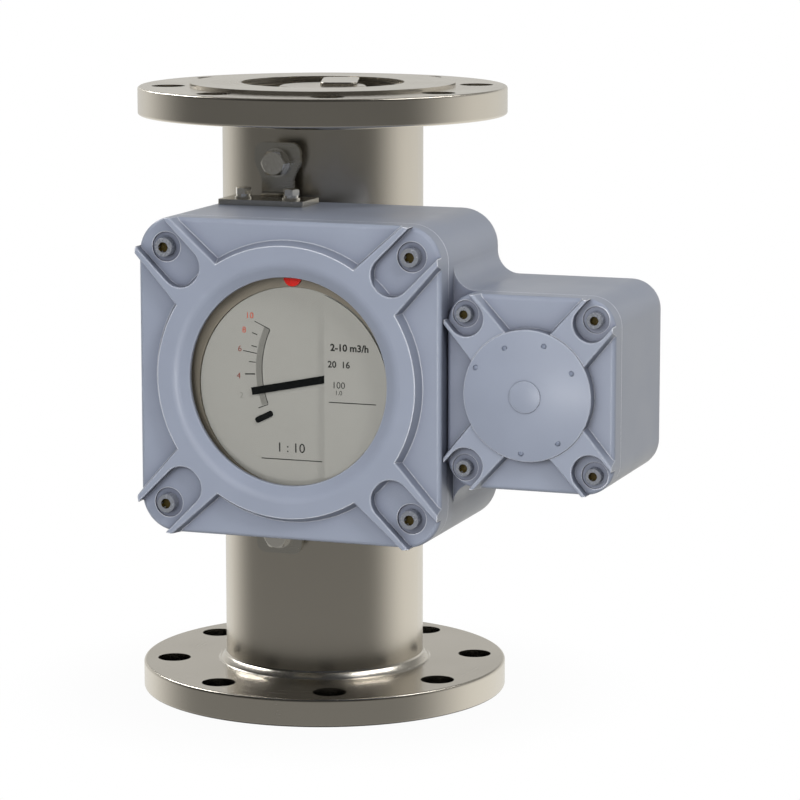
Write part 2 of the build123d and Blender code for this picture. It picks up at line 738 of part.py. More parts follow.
with BuildPart() as housing_body:
    shell_left = WINDOW_X + HOUSING_SIZE / 4
    with BuildSketch(Plane.XZ.offset(housing_back)) as shell:
        with Locations((WINDOW_X, WINDOW_Z)):
            RectangleRounded(HOUSING_SIZE, HOUSING_SIZE, HOUSING_CORNER)
        with Locations(((shell_left + terminal_right) / 2, TERMINAL_Z)):
            RectangleRounded(terminal_right - shell_left, TERMINAL_HEIGHT, TERMINAL_CORNER)
        necks = shell.vertices().filter_by(
            lambda v: abs(v.X - housing_right) < 0.01
            and abs(abs(v.Y - TERMINAL_Z) - TERMINAL_HEIGHT / 2) < 0.01
        )
        # The flat stretch of wall beside the lower neck limits the fillet
        neck_room = terminal_floor - housing_bottom - HOUSING_CORNER - 5 * SLIP
        fillet(necks, min(NECK_FILLET, neck_room))
    extrude(amount=terminal_parting - housing_back)
    with BuildSketch(window_plane(terminal_parting)):
        RectangleRounded(HOUSING_SIZE, HOUSING_SIZE, HOUSING_CORNER)
    extrude(amount=TERMINAL_STEP)
    fillet(housing_body.faces().sort_by(Axis.Y)[-1].edges(), HOUSING_BACK_FILLET)
    # Compartments, open to the front
    with BuildSketch(window_plane(parting)):
        add(main_cavity)
    extrude(amount=inner_back - parting, mode=Mode.SUBTRACT)
    with BuildSketch(terminal_plane(terminal_parting)):
        add(terminal_cavity)
    extrude(amount=terminal_back - terminal_parting, mode=Mode.SUBTRACT)
    # Bosses for the mechanism and pads behind the bracket screws and cable entries
    with BuildSketch(window_plane(housing_back + HOUSING_WALL / 2)):
        with Locations(*pillar_places):
            Circle(BOSS_DIA / 2)
    extrude(amount=rear_plate_back - housing_back - HOUSING_WALL / 2)
    pad_width = 2 * BRACKET_SCREW_X + BRACKET_PAD
    for wall_z, side in ((housing_top, -1), (housing_bottom, 1)):
        pad_height = HOUSING_WALL / 2 + BRACKET_PAD_HEIGHT
        pad_z = wall_z + side * (HOUSING_WALL + pad_height) / 2
        with Locations((0, -BRACKET_SCREW_DEPTH, pad_z)):
            Box(pad_width, BRACKET_PAD, pad_height)
    entry_pad_height = TERMINAL_WALL / 2 + ENTRY_PAD_HEIGHT
    entry_pad_z = terminal_floor + (TERMINAL_WALL + entry_pad_height) / 2
    with Locations((terminal_x, -ENTRY_DEPTH, entry_pad_z)):
        Box(ENTRY_SPACING + ENTRY_PAD, ENTRY_PAD, entry_pad_height)
    with BuildSketch(terminal_plane(housing_back + TERMINAL_WALL / 2)):
        with Locations(*[(x, 0) for x in block_foot_places]):
            Circle(BLOCK_FOOT / 2)
    extrude(amount=TERMINAL_WALL / 2 + BLOCK_FOOT)
    # Tapped holes and the cable way between the compartments
    with BuildSketch(window_plane(parting)):
        with Locations(*cover_screw_places):
            Circle(COVER_SCREW_DIA / 2)
    extrude(amount=-COVER_SCREW_LENGTH, mode=Mode.SUBTRACT)
    with BuildSketch(terminal_plane(terminal_parting)):
        with Locations(*terminal_screw_places):
            Circle(TERMINAL_SCREW_DIA / 2)
    extrude(amount=-TERMINAL_SCREW_LENGTH, mode=Mode.SUBTRACT)
    with BuildSketch(window_plane(rear_plate_back)):
        with Locations(*pillar_places):
            Circle(STUD_DIA / 2)
    extrude(amount=-STUD_LENGTH - SLIP, mode=Mode.SUBTRACT)
    with BuildSketch(terminal_plane(terminal_back + BLOCK_FOOT)):
        with Locations(*[(x, 0) for x in block_foot_places]):
            Circle(CLAMP_SCREW_DIA / 2)
    extrude(amount=-BLOCK_FOOT, mode=Mode.SUBTRACT)
    for side in (-1, 1):
        for wall_z in (housing_top, housing_bottom):
            with Locations((side * BRACKET_SCREW_X, -BRACKET_SCREW_DEPTH, wall_z)):
                Cylinder(BRACKET_SCREW_DIA / 2, 4 * BRACKET_PAD_HEIGHT, mode=Mode.SUBTRACT)
    for x in entry_places:
        with Locations((x, -ENTRY_DEPTH, terminal_floor)):
            Cylinder(ENTRY_DIA / 2, 3 * entry_pad_height, mode=Mode.SUBTRACT)
    way_start = (housing_right - 2 * HOUSING_WALL, -PASSAGE_DEPTH, TERMINAL_Z)
    with BuildSketch(Plane(origin=way_start, z_dir=(1, 0, 0))):
        Circle(PASSAGE_DIA / 2)
    extrude(amount=4 * HOUSING_WALL, mode=Mode.SUBTRACT)
housing_body.part.label = "housing_body"
export_step(housing_body.part, "parts/housing_body.step")


# Covers: a plate with a rounded front edge, a raised centre, and a drafted arm to each screw
def cover_arm(half_width, end_half_width, start, end, reach, height, pocket_half_width, pocket_start,
              pocket_corner):
    """One arm along X with the screw's pocket open at its far end, both with rounded edges."""
    with BuildPart() as arm:
        with BuildSketch():
            Polygon(
                (start, -half_width),
                (end, -end_half_width),
                (reach, -end_half_width),
                (reach, end_half_width),
                (end, end_half_width),
                (start, half_width),
            )
        extrude(amount=height, taper=ARM_DRAFT)
        fillet(arm.edges().group_by(Axis.Z)[-1], ARM_EDGE)
        with BuildSketch() as pocket:
            with Locations(((pocket_start + 2 * reach) / 2, 0)):
                Rectangle(2 * reach - pocket_start, 2 * pocket_half_width)
            fillet(pocket.vertices().group_by(Axis.X)[0], pocket_corner)
        extrude(amount=height, mode=Mode.SUBTRACT)
        rim = arm.edges().group_by(Axis.Z)[-1].filter_by(
            lambda e: abs(e.center().Y) < pocket_half_width + SLIP and e.center().X > start + SLIP
        )
        fillet(rim, POCKET_EDGE)
    return arm.part


def cover_arms(plane, angles, outline, arm, height):
    """The arms at each angle about a plane's centre, trimmed to the cover's outline."""
    with BuildPart() as arms:
        for angle in angles:
            add(arm.moved(spun(plane, angle).location))
        with BuildSketch(plane):
            RectangleRounded(*outline)
        extrude(amount=height, mode=Mode.INTERSECT)
    return arms.part


def cover_plate(plane, outline):
    """Flat plate of a cover with its front edge rounded."""
    with BuildPart() as blank:
        with BuildSketch(plane):
            RectangleRounded(*outline)
        extrude(amount=COVER_RIM + PANEL_RISE)
        fillet(blank.edges().group_by(Axis.Y)[0], COVER_EDGE)
    return blank.part


def seal_loop(plane, cavity, thickness):
    """Closed seal strip that runs round a compartment, extruded from a plane."""
    with BuildPart() as loop:
        with BuildSketch(plane):
            add(offset(cavity, SEAL_INSET + SEAL_WIDTH, mode=Mode.PRIVATE))
            add(offset(cavity, SEAL_INSET, mode=Mode.PRIVATE), mode=Mode.SUBTRACT)
        extrude(amount=thickness)
    return loop


main_outline = (HOUSING_SIZE, HOUSING_SIZE, HOUSING_CORNER)
main_angles = (45, 135, 225, 315)
main_arm = cover_arm(
    ARM_HALF_WIDTH,
    ARM_END_HALF_WIDTH,
    bevel_dia / 2,
    hypot(HOUSING_SIZE, HOUSING_SIZE) / 2 - HOUSING_CORNER / 2,
    HOUSING_SIZE,
    RING_TOP - COVER_RIM,
    POCKET_HALF_WIDTH,
    hypot(screw_offset, screw_offset) - POCKET_BEYOND_SCREW,
    POCKET_CORNER,
)
main_arms = cover_arms(
    window_plane(parting + COVER_RIM), main_angles, main_outline, main_arm, RING_TOP - COVER_RIM
)
main_seal = seal_loop(window_plane(parting), main_cavity, SEAL_DEPTH)
main_seal.part.label = "main_seal"
export_step(main_seal.part, "parts/main_seal.step")

with BuildPart() as main_cover:
    add(cover_plate(window_plane(parting), main_outline))
    add(main_arms)
    with BuildSketch(section_through(WINDOW_X, WINDOW_Z)) as ring:
        Polygon(
            (0, parting + COVER_RIM),
            (0, ring_top),
            (ring_dia / 2, ring_top),
            (ring_base_dia / 2, main_panel),
            (ring_base_dia / 2, parting + COVER_RIM),
        )
        fillet(ring.vertices().sort_by_distance((WINDOW_X + ring_dia / 2, -ring_top, WINDOW_Z))[0], RING_EDGE)
    revolve(axis=window_axis)
    with BuildSketch(section_through(WINDOW_X, WINDOW_Z)):
        Polygon(
            (0, ring_top),
            (bevel_dia / 2, ring_top),
            (WINDOW_DIA / 2, parting + WINDOW_LIP_TOP),
            (WINDOW_DIA / 2, lip_back),
            (glass_dia / 2 + SLIP, lip_back),
            (glass_dia / 2 + SLIP, glass_back),
            (clamp_ring_dia / 2 + SLIP, glass_back),
            (clamp_ring_dia / 2 + SLIP, parting),
            (0, parting),
        )
    revolve(axis=window_axis, mode=Mode.SUBTRACT)
    bevel_rim = main_cover.edges().filter_by(GeomType.CIRCLE).filter_by(
        lambda e: abs(e.radius - bevel_dia / 2) < SLIP and abs(e.center().Y + ring_top) < SLIP
    )
    fillet(bevel_rim, BEVEL_EDGE)
    lip_rim = main_cover.edges().filter_by(GeomType.CIRCLE).filter_by(
        lambda e: abs(e.radius - WINDOW_DIA / 2) < SLIP
        and abs(e.center().Y + parting + WINDOW_LIP_TOP) < SLIP
    )
    fillet(lip_rim, WINDOW_LIP_EDGE)
    with BuildSketch(window_plane(main_panel)):
        with Locations(*cover_screw_places):
            Circle(COUNTERBORE_DIA / 2)
    extrude(amount=-COUNTERBORE_DEPTH, mode=Mode.SUBTRACT)
    with BuildSketch(window_plane(ring_top)):
        with Locations(*cover_screw_places):
            Circle(COVER_SCREW_DIA / 2 + 3 * SLIP)
    extrude(amount=-RING_TOP, mode=Mode.SUBTRACT)
    with BuildSketch(window_plane(glass_back)):
        with PolarLocations(clamp_screw_circle / 2, CLAMP_SCREW_COUNT):
            Circle(CLAMP_SCREW_DIA / 2)
    extrude(amount=CLAMP_SCREW_LENGTH, mode=Mode.SUBTRACT)
    add(main_seal.part, mode=Mode.SUBTRACT)
main_cover.part.label = "main_cover"
export_step(main_cover.part, "parts/main_cover.step")

terminal_outline = (TERMINAL_WIDTH, TERMINAL_HEIGHT, TERMINAL_CORNER)
terminal_top = terminal_parting + TERMINAL_TOP
screw_angle = Vector(terminal_screw_x, terminal_screw_z).get_angle(Vector(1, 0))
terminal_angles = (screw_angle, 180 - screw_angle, 180 + screw_angle, -screw_angle)
terminal_arm = cover_arm(
    TERMINAL_ARM_HALF_WIDTH,
    TERMINAL_ARM_END_HALF_WIDTH,
    TERMINAL_DISC_DIA / 4,
    hypot(TERMINAL_WIDTH, TERMINAL_HEIGHT) / 2 - TERMINAL_CORNER / 2,
    TERMINAL_HEIGHT,
    TERMINAL_TOP - COVER_RIM,
    TERMINAL_POCKET_HALF_WIDTH,
    hypot(terminal_screw_x, terminal_screw_z) - TERMINAL_POCKET_BEYOND_SCREW,
    TERMINAL_POCKET_CORNER,
)
terminal_arms = cover_arms(
    terminal_plane(terminal_parting + COVER_RIM),
    terminal_angles,
    terminal_outline,
    terminal_arm,
    TERMINAL_TOP - COVER_RIM,
)
terminal_seal = seal_loop(terminal_plane(terminal_parting), terminal_cavity, SEAL_DEPTH)
terminal_seal.part.label = "terminal_seal"
export_step(terminal_seal.part, "parts/terminal_seal.step")

with BuildPart() as terminal_cover:
    add(cover_plate(terminal_plane(terminal_parting), terminal_outline))
    add(terminal_arms)
    # Round centre with a small step and a low dome
    disc_radius = TERMINAL_DISC_DIA / 2
    dome_edge = terminal_top + TERMINAL_DISC_STEP
    with BuildSketch(section_through(terminal_x, TERMINAL_Z)):
        with BuildLine():
            foot = (0, terminal_parting + COVER_RIM)
            edge = (disc_radius, terminal_parting + COVER_RIM)
            brim = (disc_radius, dome_edge)
            crown = (0, dome_edge + TERMINAL_DOME)
            dome_radius = (disc_radius**2 + TERMINAL_DOME**2) / (2 * TERMINAL_DOME)
            Polyline(crown, foot, edge, brim)
            mid_x = disc_radius / 2
            dome_centre = dome_edge + TERMINAL_DOME - dome_radius
            mid_depth = dome_centre + (dome_radius**2 - mid_x**2) ** 0.5
            ThreePointArc(brim, (mid_x, mid_depth), crown)
        make_face()
    revolve(axis=terminal_axis)
    disc_rim = terminal_cover.edges().filter_by(GeomType.CIRCLE).filter_by(
        lambda e: abs(e.radius - disc_radius) < SLIP and abs(e.center().Y + dome_edge) < SLIP
    )
    fillet(disc_rim, TERMINAL_DISC_EDGE)
    with BuildSketch(terminal_plane(terminal_panel)):
        with Locations(*terminal_screw_places):
            Circle(TERMINAL_COUNTERBORE_DIA / 2)
    extrude(amount=-TERMINAL_COUNTERBORE_DEPTH, mode=Mode.SUBTRACT)
    with BuildSketch(terminal_plane(terminal_top)):
        with Locations(*terminal_screw_places):
            Circle(TERMINAL_SCREW_DIA / 2 + 3 * SLIP)
    extrude(amount=-TERMINAL_TOP, mode=Mode.SUBTRACT)
    add(terminal_seal.part, mode=Mode.SUBTRACT)
terminal_cover.part.label = "terminal_cover"
export_step(terminal_cover.part, "parts/terminal_cover.step")


def socket_screws(plane_at, places, seat, diameter, length):
    """Socket head cap screws whose heads sit on a seat depth and whose points go inwards."""
    head_radius = 0.84 * diameter
    with BuildPart() as screws:
        with BuildSketch(plane_at(seat)):
            with Locations(*places):
                Circle(head_radius)
        extrude(amount=diameter)
        fillet(screws.edges().group_by(Axis.Y)[0], diameter / 12)
        with BuildSketch(plane_at(seat)):
            with Locations(*places):
                Circle(diameter / 2 - SLIP / 2)
        extrude(amount=-length)
        with BuildSketch(plane_at(seat + diameter)):
            with Locations(*places):
                RegularPolygon(0.42 * diameter, 6, major_radius=False)
        extrude(amount=-diameter / 2, mode=Mode.SUBTRACT)
    return screws


main_screw_seat = main_panel - COUNTERBORE_DEPTH
main_cover_screws = socket_screws(
    window_plane, cover_screw_places, main_screw_seat, COVER_SCREW_DIA, COVER_SCREW_LENGTH
)
main_cover_screws.part.label = "main_cover_screws"
export_step(main_cover_screws.part, "parts/main_cover_screws.step")

terminal_screw_seat = terminal_panel - TERMINAL_COUNTERBORE_DEPTH
terminal_cover_screws = socket_screws(
    terminal_plane,
    terminal_screw_places,
    terminal_screw_seat,
    TERMINAL_SCREW_DIA,
    TERMINAL_SCREW_LENGTH,
)
terminal_cover_screws.part.label = "terminal_cover_screws"
export_step(terminal_cover_screws.part, "parts/terminal_cover_screws.step")

# Window: seal, glass and clamp ring, fitted from inside the cover
glass_seal = disc_about(
    WINDOW_X, WINDOW_Z, glass_front, lip_back, glass_dia / 2, WINDOW_DIA / 2 + 1
)
glass_seal.part.label = "glass_seal"
export_step(glass_seal.part, "parts/glass_seal.step")

window_glass = disc_about(WINDOW_X, WINDOW_Z, glass_back, glass_front, glass_dia / 2)
window_glass.part.label = "window_glass"
export_step(window_glass.part, "parts/window_glass.step")

with BuildPart() as clamp_ring:
    with BuildSketch(window_plane(clamp_back)):
        Circle(clamp_ring_dia / 2)
        Circle(clamp_ring_bore / 2, mode=Mode.SUBTRACT)
        with PolarLocations(clamp_screw_circle / 2, CLAMP_SCREW_COUNT):
            Circle(CLAMP_SCREW_DIA / 2 + 2 * SLIP, mode=Mode.SUBTRACT)
    extrude(amount=CLAMP_RING_THICKNESS)
clamp_ring.part.label = "clamp_ring"
export_step(clamp_ring.part, "parts/clamp_ring.step")

clamp_screw_head = 0.6 * CLAMP_SCREW_DIA
with BuildPart() as clamp_ring_screws:
    with BuildSketch(window_plane(clamp_back - clamp_screw_head)):
        with PolarLocations(clamp_screw_circle / 2, CLAMP_SCREW_COUNT):
            Circle(clamp_screw_head_dia / 2)
    extrude(amount=clamp_screw_head)
    with BuildSketch(window_plane(clamp_back)):
        with PolarLocations(clamp_screw_circle / 2, CLAMP_SCREW_COUNT):
            Circle(CLAMP_SCREW_DIA / 2 - SLIP / 2)
    extrude(amount=CLAMP_SCREW_LENGTH)
    with BuildSketch(window_plane(clamp_back - clamp_screw_head)):
        with PolarLocations(clamp_screw_circle / 2, CLAMP_SCREW_COUNT):
            Rectangle(clamp_screw_head_dia, 0.2 * CLAMP_SCREW_DIA)
    extrude(amount=clamp_screw_head / 2, mode=Mode.SUBTRACT)
clamp_ring_screws.part.label = "clamp_ring_screws"
export_step(clamp_ring_screws.part, "parts/clamp_ring_screws.step")

# Dial carrier: a dish with a rim, on bosses that stand on the mechanism's front plate
carrier_back = dial_back - CARRIER_FLOOR
carrier_boss_places = [(-30, -30), (-30, 30), (12, 40), (12, -40)]
with BuildPart() as dial_carrier:
    with BuildSketch(window_plane(carrier_back)):
        Circle(carrier_dia / 2)
    extrude(amount=CARRIER_RIM)
    with BuildSketch(window_plane(dial_back)):
        with Locations((0, -DIAL_DROP)):
            Circle(dial_dia / 2 + 3 * SLIP)
    extrude(amount=CARRIER_RIM, mode=Mode.SUBTRACT)
    with BuildSketch(window_plane(front_plate_front)):
        with Locations(*carrier_boss_places):
            Circle(CARRIER_BOSS_DIA / 2)
    extrude(amount=CARRIER_BOSS)
    with BuildSketch(window_plane(front_plate_front)):
        with Locations(*carrier_boss_places):
            Circle(CLAMP_SCREW_DIA / 2)
        with Locations((PIVOT_X, PIVOT_Z)):
            Circle(SHAFT_HOLE_DIA)
        with Locations((0, latch_z)):
            Circle(CLAMP_SCREW_DIA / 2)
    extrude(amount=CARRIER_BOSS + CARRIER_RIM, mode=Mode.SUBTRACT)
dial_carrier.part.label = "dial_carrier"
export_step(dial_carrier.part, "parts/dial_carrier.step")

with BuildPart() as dial:
    with BuildSketch(window_plane(dial_back)):
        with Locations((0, -DIAL_DROP)):
            Circle(dial_dia / 2)
        with Locations((PIVOT_X, PIVOT_Z)):
            Circle(SHAFT_HOLE_DIA / 2, mode=Mode.SUBTRACT)
    extrude(amount=DIAL_THICKNESS)
dial.part.label = "dial"
export_step(dial.part, "parts/dial.step")

# Side plate: the right-hand segment of the dial, raised on two feet over the pointer's hub
with BuildPart() as side_plate:
    with BuildSketch(window_plane(side_plate_back)):
        with Locations((0, -DIAL_DROP)):
            Circle(dial_dia / 2)
        with Locations((SIDE_PLATE_X - dial_dia / 2, -DIAL_DROP)):
            Rectangle(dial_dia, dial_dia, mode=Mode.SUBTRACT)
    extrude(amount=SIDE_PLATE_THICKNESS)
    with BuildSketch(window_plane(dial_front)):
        with Locations((SPACER_X, SPACER_Z), (SPACER_X, -SPACER_Z - DIAL_DROP)):
            Circle(SPACER_DIA / 2)
    extrude(amount=side_plate_back - dial_front)
side_plate.part.label = "side_plate"
export_step(side_plate.part, "parts/side_plate.step")

# Red turn screw that holds the dial in its carrier at the top, flat beside the clamp ring
with BuildPart() as dial_screw:
    with BuildSketch(window_plane(carrier_back + CARRIER_RIM)):
        with Locations((0, latch_z)):
            Circle(LATCH_DIA / 2)
        Circle(clamp_ring_bore / 2 - LATCH_GAP, mode=Mode.INTERSECT)
    extrude(amount=LATCH_HEIGHT)
    fillet(dial_screw.edges().group_by(Axis.Y)[0], 0.4)
    with BuildSketch(window_plane(carrier_back + CARRIER_RIM)):
        with Locations((0, latch_z)):
            Circle(CLAMP_SCREW_DIA / 2 - SLIP / 2)
    extrude(amount=-CARRIER_RIM)
    with BuildSketch(window_plane(carrier_back + CARRIER_RIM + LATCH_HEIGHT)):
        with Locations((0, latch_z)):
            Rectangle(LATCH_DIA, LATCH_SLOT)
    extrude(amount=-LATCH_SLOT_DEPTH, mode=Mode.SUBTRACT)
dial_screw.part.label = "dial_screw"
export_step(dial_screw.part, "parts/dial_screw.step")

# Limit mark: a black bar stuck on the dial below the scale, along a radius of the pointer
with BuildPart() as limit_mark:
    mark_angle = radians(LIMIT_MARK_ANGLE)
    mark_x = -LIMIT_MARK_RADIUS * cos(mark_angle)
    mark_z = -LIMIT_MARK_RADIUS * sin(mark_angle)
    with BuildSketch(pivot_plane(dial_front)):
        with Locations(Location((mark_x, mark_z, 0), (0, 0, LIMIT_MARK_ANGLE))):
            RectangleRounded(LIMIT_MARK_LENGTH, LIMIT_MARK_WIDTH, LIMIT_MARK_WIDTH / 2.5)
    extrude(amount=LIMIT_MARK_HEIGHT)
limit_mark.part.label = "limit_mark"
export_step(limit_mark.part, "parts/limit_mark.step")

# Mechanism frame: two plates on four pillars, screwed to bosses on the housing's back wall
plate_width = plate_left + plate_right
plate_middle = (plate_right - plate_left) / 2


def mechanism_plate(back, bush_hole, extra_holes):
    with BuildPart() as plate:
        with BuildSketch(window_plane(back)):
            with Locations((plate_middle, 0)):
                RectangleRounded(plate_width, 2 * plate_half_height, PLATE_CORNER)
            with Locations(*pillar_places):
                Circle(STUD_DIA / 2 + SLIP, mode=Mode.SUBTRACT)
            with Locations((PIVOT_X, PIVOT_Z)):
                Circle(bush_hole, mode=Mode.SUBTRACT)
            if extra_holes:
                with Locations(*extra_holes):
                    Circle(CLAMP_SCREW_DIA / 2, mode=Mode.SUBTRACT)
        extrude(amount=PLATE_THICKNESS)
    return plate


rear_plate = mechanism_plate(rear_plate_back, BUSH_BODY_DIA / 2, [])
rear_plate.part.label = "rear_plate"
export_step(rear_plate.part, "parts/rear_plate.step")

front_plate = mechanism_plate(front_plate_back, BUSH_BODY_DIA / 2, carrier_boss_places)
front_plate.part.label = "front_plate"
export_step(front_plate.part, "parts/front_plate.step")

with BuildPart() as frame_pillars:
    with BuildSketch(window_plane(rear_plate_front)):
        with Locations(*pillar_places):
            RegularPolygon(PILLAR_DIA / 2, 6, major_radius=False)
    extrude(amount=front_plate_back - rear_plate_front)
    with BuildSketch(window_plane(rear_plate_front)):
        with Locations(*pillar_places):
            Circle(STUD_DIA / 2 - SLIP / 2)
    extrude(amount=-PLATE_THICKNESS - STUD_LENGTH)
    with BuildSketch(window_plane(front_plate_back)):
        with Locations(*pillar_places):
            Circle(STUD_DIA / 2)
    extrude(amount=-2 * STUD_LENGTH, mode=Mode.SUBTRACT)
frame_pillars.part.label = "frame_pillars"
export_step(frame_pillars.part, "parts/frame_pillars.step")

with BuildPart() as frame_screws:
    with BuildSketch(window_plane(front_plate_front)):
        with Locations(*pillar_places):
            Circle(0.9 * STUD_DIA)
    extrude(amount=0.5 * STUD_DIA)
    with BuildSketch(window_plane(front_plate_front)):
        with Locations(*pillar_places):
            Circle(STUD_DIA / 2 - SLIP / 2)
    extrude(amount=-PLATE_THICKNESS - STUD_LENGTH)
    with BuildSketch(window_plane(front_plate_front + 0.5 * STUD_DIA)):
        with Locations(*pillar_places):
            Rectangle(2 * STUD_DIA, 0.2 * STUD_DIA)
    extrude(amount=-0.25 * STUD_DIA, mode=Mode.SUBTRACT)
frame_screws.part.label = "frame_screws"
export_step(frame_screws.part, "parts/frame_screws.step")

with BuildPart() as carrier_screws:
    with BuildSketch(window_plane(front_plate_back)):
        with Locations(*carrier_boss_places):
            Circle(clamp_screw_head_dia / 2)
    extrude(amount=-0.6 * CLAMP_SCREW_DIA)
    with BuildSketch(window_plane(front_plate_back)):
        with Locations(*carrier_boss_places):
            Circle(CLAMP_SCREW_DIA / 2 - SLIP / 2)
    extrude(amount=PLATE_THICKNESS + CARRIER_BOSS)
carrier_screws.part.label = "carrier_screws"
export_step(carrier_screws.part, "parts/carrier_screws.step")

# Pointer shaft in a flanged bush at each plate
shaft_section = section_through(pivot_x, pivot_z)
shaft_radius = SHAFT_DIA / 2
bush_bore = shaft_radius + SHAFT_FIT
bush_body = BUSH_BODY_DIA / 2 - SHAFT_FIT / 2
bush_flange = BUSH_FLANGE_DIA / 2

with BuildPart() as shaft_bushes:
    with BuildSketch(shaft_section):
        Polygon(
            (bush_bore, rear_plate_back),
            (bush_body, rear_plate_back),
            (bush_body, rear_plate_front),
            (bush_flange, rear_plate_front),
            (bush_flange, rear_plate_front + BUSH_FLANGE),
            (bush_bore, rear_plate_front + BUSH_FLANGE),
        )
        Polygon(
            (bush_bore, front_plate_front),
            (bush_body, front_plate_front),
            (bush_body, front_plate_back),
            (bush_flange, front_plate_back),
            (bush_flange, front_plate_back - BUSH_FLANGE),
            (bush_bore, front_plate_back - BUSH_FLANGE),
        )
    revolve(axis=pivot_axis)
shaft_bushes.part.label = "shaft_bushes"
export_step(shaft_bushes.part, "parts/shaft_bushes.step")

shaft_tail = rear_plate_back - 1.5
pointer_shaft = disc_about(pivot_x, pivot_z, shaft_tail, hub_front - SLIP, shaft_radius)
pointer_shaft.part.label = "pointer_shaft"
export_step(pointer_shaft.part, "parts/pointer_shaft.step")

hub_back = hub_front - POINTER_HUB_THICKNESS
with BuildPart() as pointer:
    with BuildSketch(spun(pivot_plane(hub_back + DIAL_CLEARANCE), REST_ANGLE)):
        Polygon(
            (POINTER_TAIL, -POINTER_WIDTH / 2),
            (POINTER_TAIL, POINTER_WIDTH / 2),
            (-POINTER_LENGTH, POINTER_WIDTH / 2),
            (-POINTER_LENGTH, -POINTER_WIDTH / 2),
        )
        Circle(shaft_radius, mode=Mode.SUBTRACT)
    extrude(amount=POINTER_THICKNESS)
    with BuildSketch(pivot_plane(hub_back)):
        Circle(POINTER_HUB_DIA / 2)
        Circle(shaft_radius + SHAFT_FIT / 2, mode=Mode.SUBTRACT)
    extrude(amount=POINTER_HUB_THICKNESS)
    with BuildSketch(pivot_plane(hub_back)):
        Circle(shaft_radius + SHAFT_FIT / 2)
    extrude(amount=POINTER_HUB_THICKNESS, mode=Mode.SUBTRACT)
pointer.part.label = "pointer"
export_step(pointer.part, "parts/pointer.step")

# Follower arm: a strip from the shaft to beside the tube, with a magnet and a counterweight
arm_frame = spun(pivot_plane(arm_back), REST_ANGLE)
with BuildPart() as follower_arm:
    with BuildSketch(arm_frame):
        with Locations(((COUNTER_RADIUS - arm_length) / 2, 0)):
            Rectangle(arm_length + COUNTER_RADIUS, ARM_WIDTH)
    extrude(amount=ARM_THICKNESS)
    with BuildSketch(pivot_plane(arm_back)):
        Circle(ARM_HUB_DIA / 2)
    extrude(amount=ARM_HUB_LENGTH)
    with BuildSketch(pivot_plane(arm_back)):
        Circle(shaft_radius + SHAFT_FIT / 2)
    extrude(amount=ARM_HUB_LENGTH, mode=Mode.SUBTRACT)
follower_arm.part.label = "follower_arm"
export_step(follower_arm.part, "parts/follower_arm.step")

follower_frame = spun(pivot_plane(arm_front), REST_ANGLE)
with BuildPart() as follower_magnet:
    with BuildSketch(follower_frame):
        with Locations((-arm_length, 0)):
            Rectangle(FOLLOWER_LENGTH, FOLLOWER_SIZE)
    extrude(amount=FOLLOWER_SIZE / 2)
follower_magnet.part.label = "follower_magnet"
export_step(follower_magnet.part, "parts/follower_magnet.step")

with BuildPart() as counterweight:
    with BuildSketch(follower_frame):
        with Locations((COUNTER_RADIUS - COUNTER_WIDTH / 2, 0)):
            Rectangle(COUNTER_WIDTH, COUNTER_HEIGHT)
    extrude(amount=COUNTER_LENGTH)
counterweight.part.label = "counterweight"
export_step(counterweight.part, "parts/counterweight.step")

# Eddy current brake: a disc on the shaft between two magnets in a yoke on the front plate
brake_front = BRAKE_DEPTH + BRAKE_THICKNESS
with BuildPart() as brake_disc:
    with BuildSketch(pivot_plane(BRAKE_DEPTH)):
        Circle(BRAKE_DIA / 2)
    extrude(amount=BRAKE_THICKNESS)
    with BuildSketch(pivot_plane(BRAKE_DEPTH)):
        Circle(BRAKE_HUB_DIA / 2)
    extrude(amount=BRAKE_HUB_LENGTH)
    with BuildSketch(pivot_plane(BRAKE_DEPTH)):
        Circle(shaft_radius + SHAFT_FIT / 2)
    extrude(amount=BRAKE_HUB_LENGTH, mode=Mode.SUBTRACT)
brake_disc.part.label = "brake_disc"
export_step(brake_disc.part, "parts/brake_disc.step")

magnet_centre = -BRAKE_DIA / 2 + BRAKE_MAGNET_DIA / 2
rear_magnet_back = BRAKE_DEPTH - BRAKE_GAP - BRAKE_MAGNET_THICKNESS
front_magnet_back = brake_front + BRAKE_GAP
with BuildPart() as brake_magnets:
    for back in (rear_magnet_back, front_magnet_back):
        with BuildSketch(pivot_plane(back)):
            with Locations((0, magnet_centre)):
                Circle(BRAKE_MAGNET_DIA / 2)
        extrude(amount=BRAKE_MAGNET_THICKNESS)
brake_magnets.part.label = "brake_magnets"
export_step(brake_magnets.part, "parts/brake_magnets.step")

yoke_height = YOKE_OUTER - YOKE_INNER
yoke_back = rear_magnet_back - YOKE_WALL
with BuildPart() as brake_yoke:
    with BuildSketch(pivot_plane(yoke_back)):
        with Locations((0, -(YOKE_INNER + YOKE_OUTER) / 2)):
            Rectangle(YOKE_WIDTH, yoke_height)
    extrude(amount=front_plate_back - yoke_back)
    slot_front = front_magnet_back + BRAKE_MAGNET_THICKNESS
    slot_height = yoke_height - YOKE_WALL
    with BuildSketch(pivot_plane(rear_magnet_back)):
        with Locations((0, -YOKE_INNER - slot_height / 2)):
            Rectangle(YOKE_WIDTH, slot_height)
    extrude(amount=slot_front - rear_magnet_back, mode=Mode.SUBTRACT)
    with BuildSketch(pivot_plane(slot_front + YOKE_WALL)):
        with Locations((0, -YOKE_INNER - slot_height / 2)):
            Rectangle(YOKE_WIDTH, slot_height)
    extrude(amount=front_plate_back - slot_front - YOKE_WALL, mode=Mode.SUBTRACT)
brake_yoke.part.label = "brake_yoke"
export_step(brake_yoke.part, "parts/brake_yoke.step")


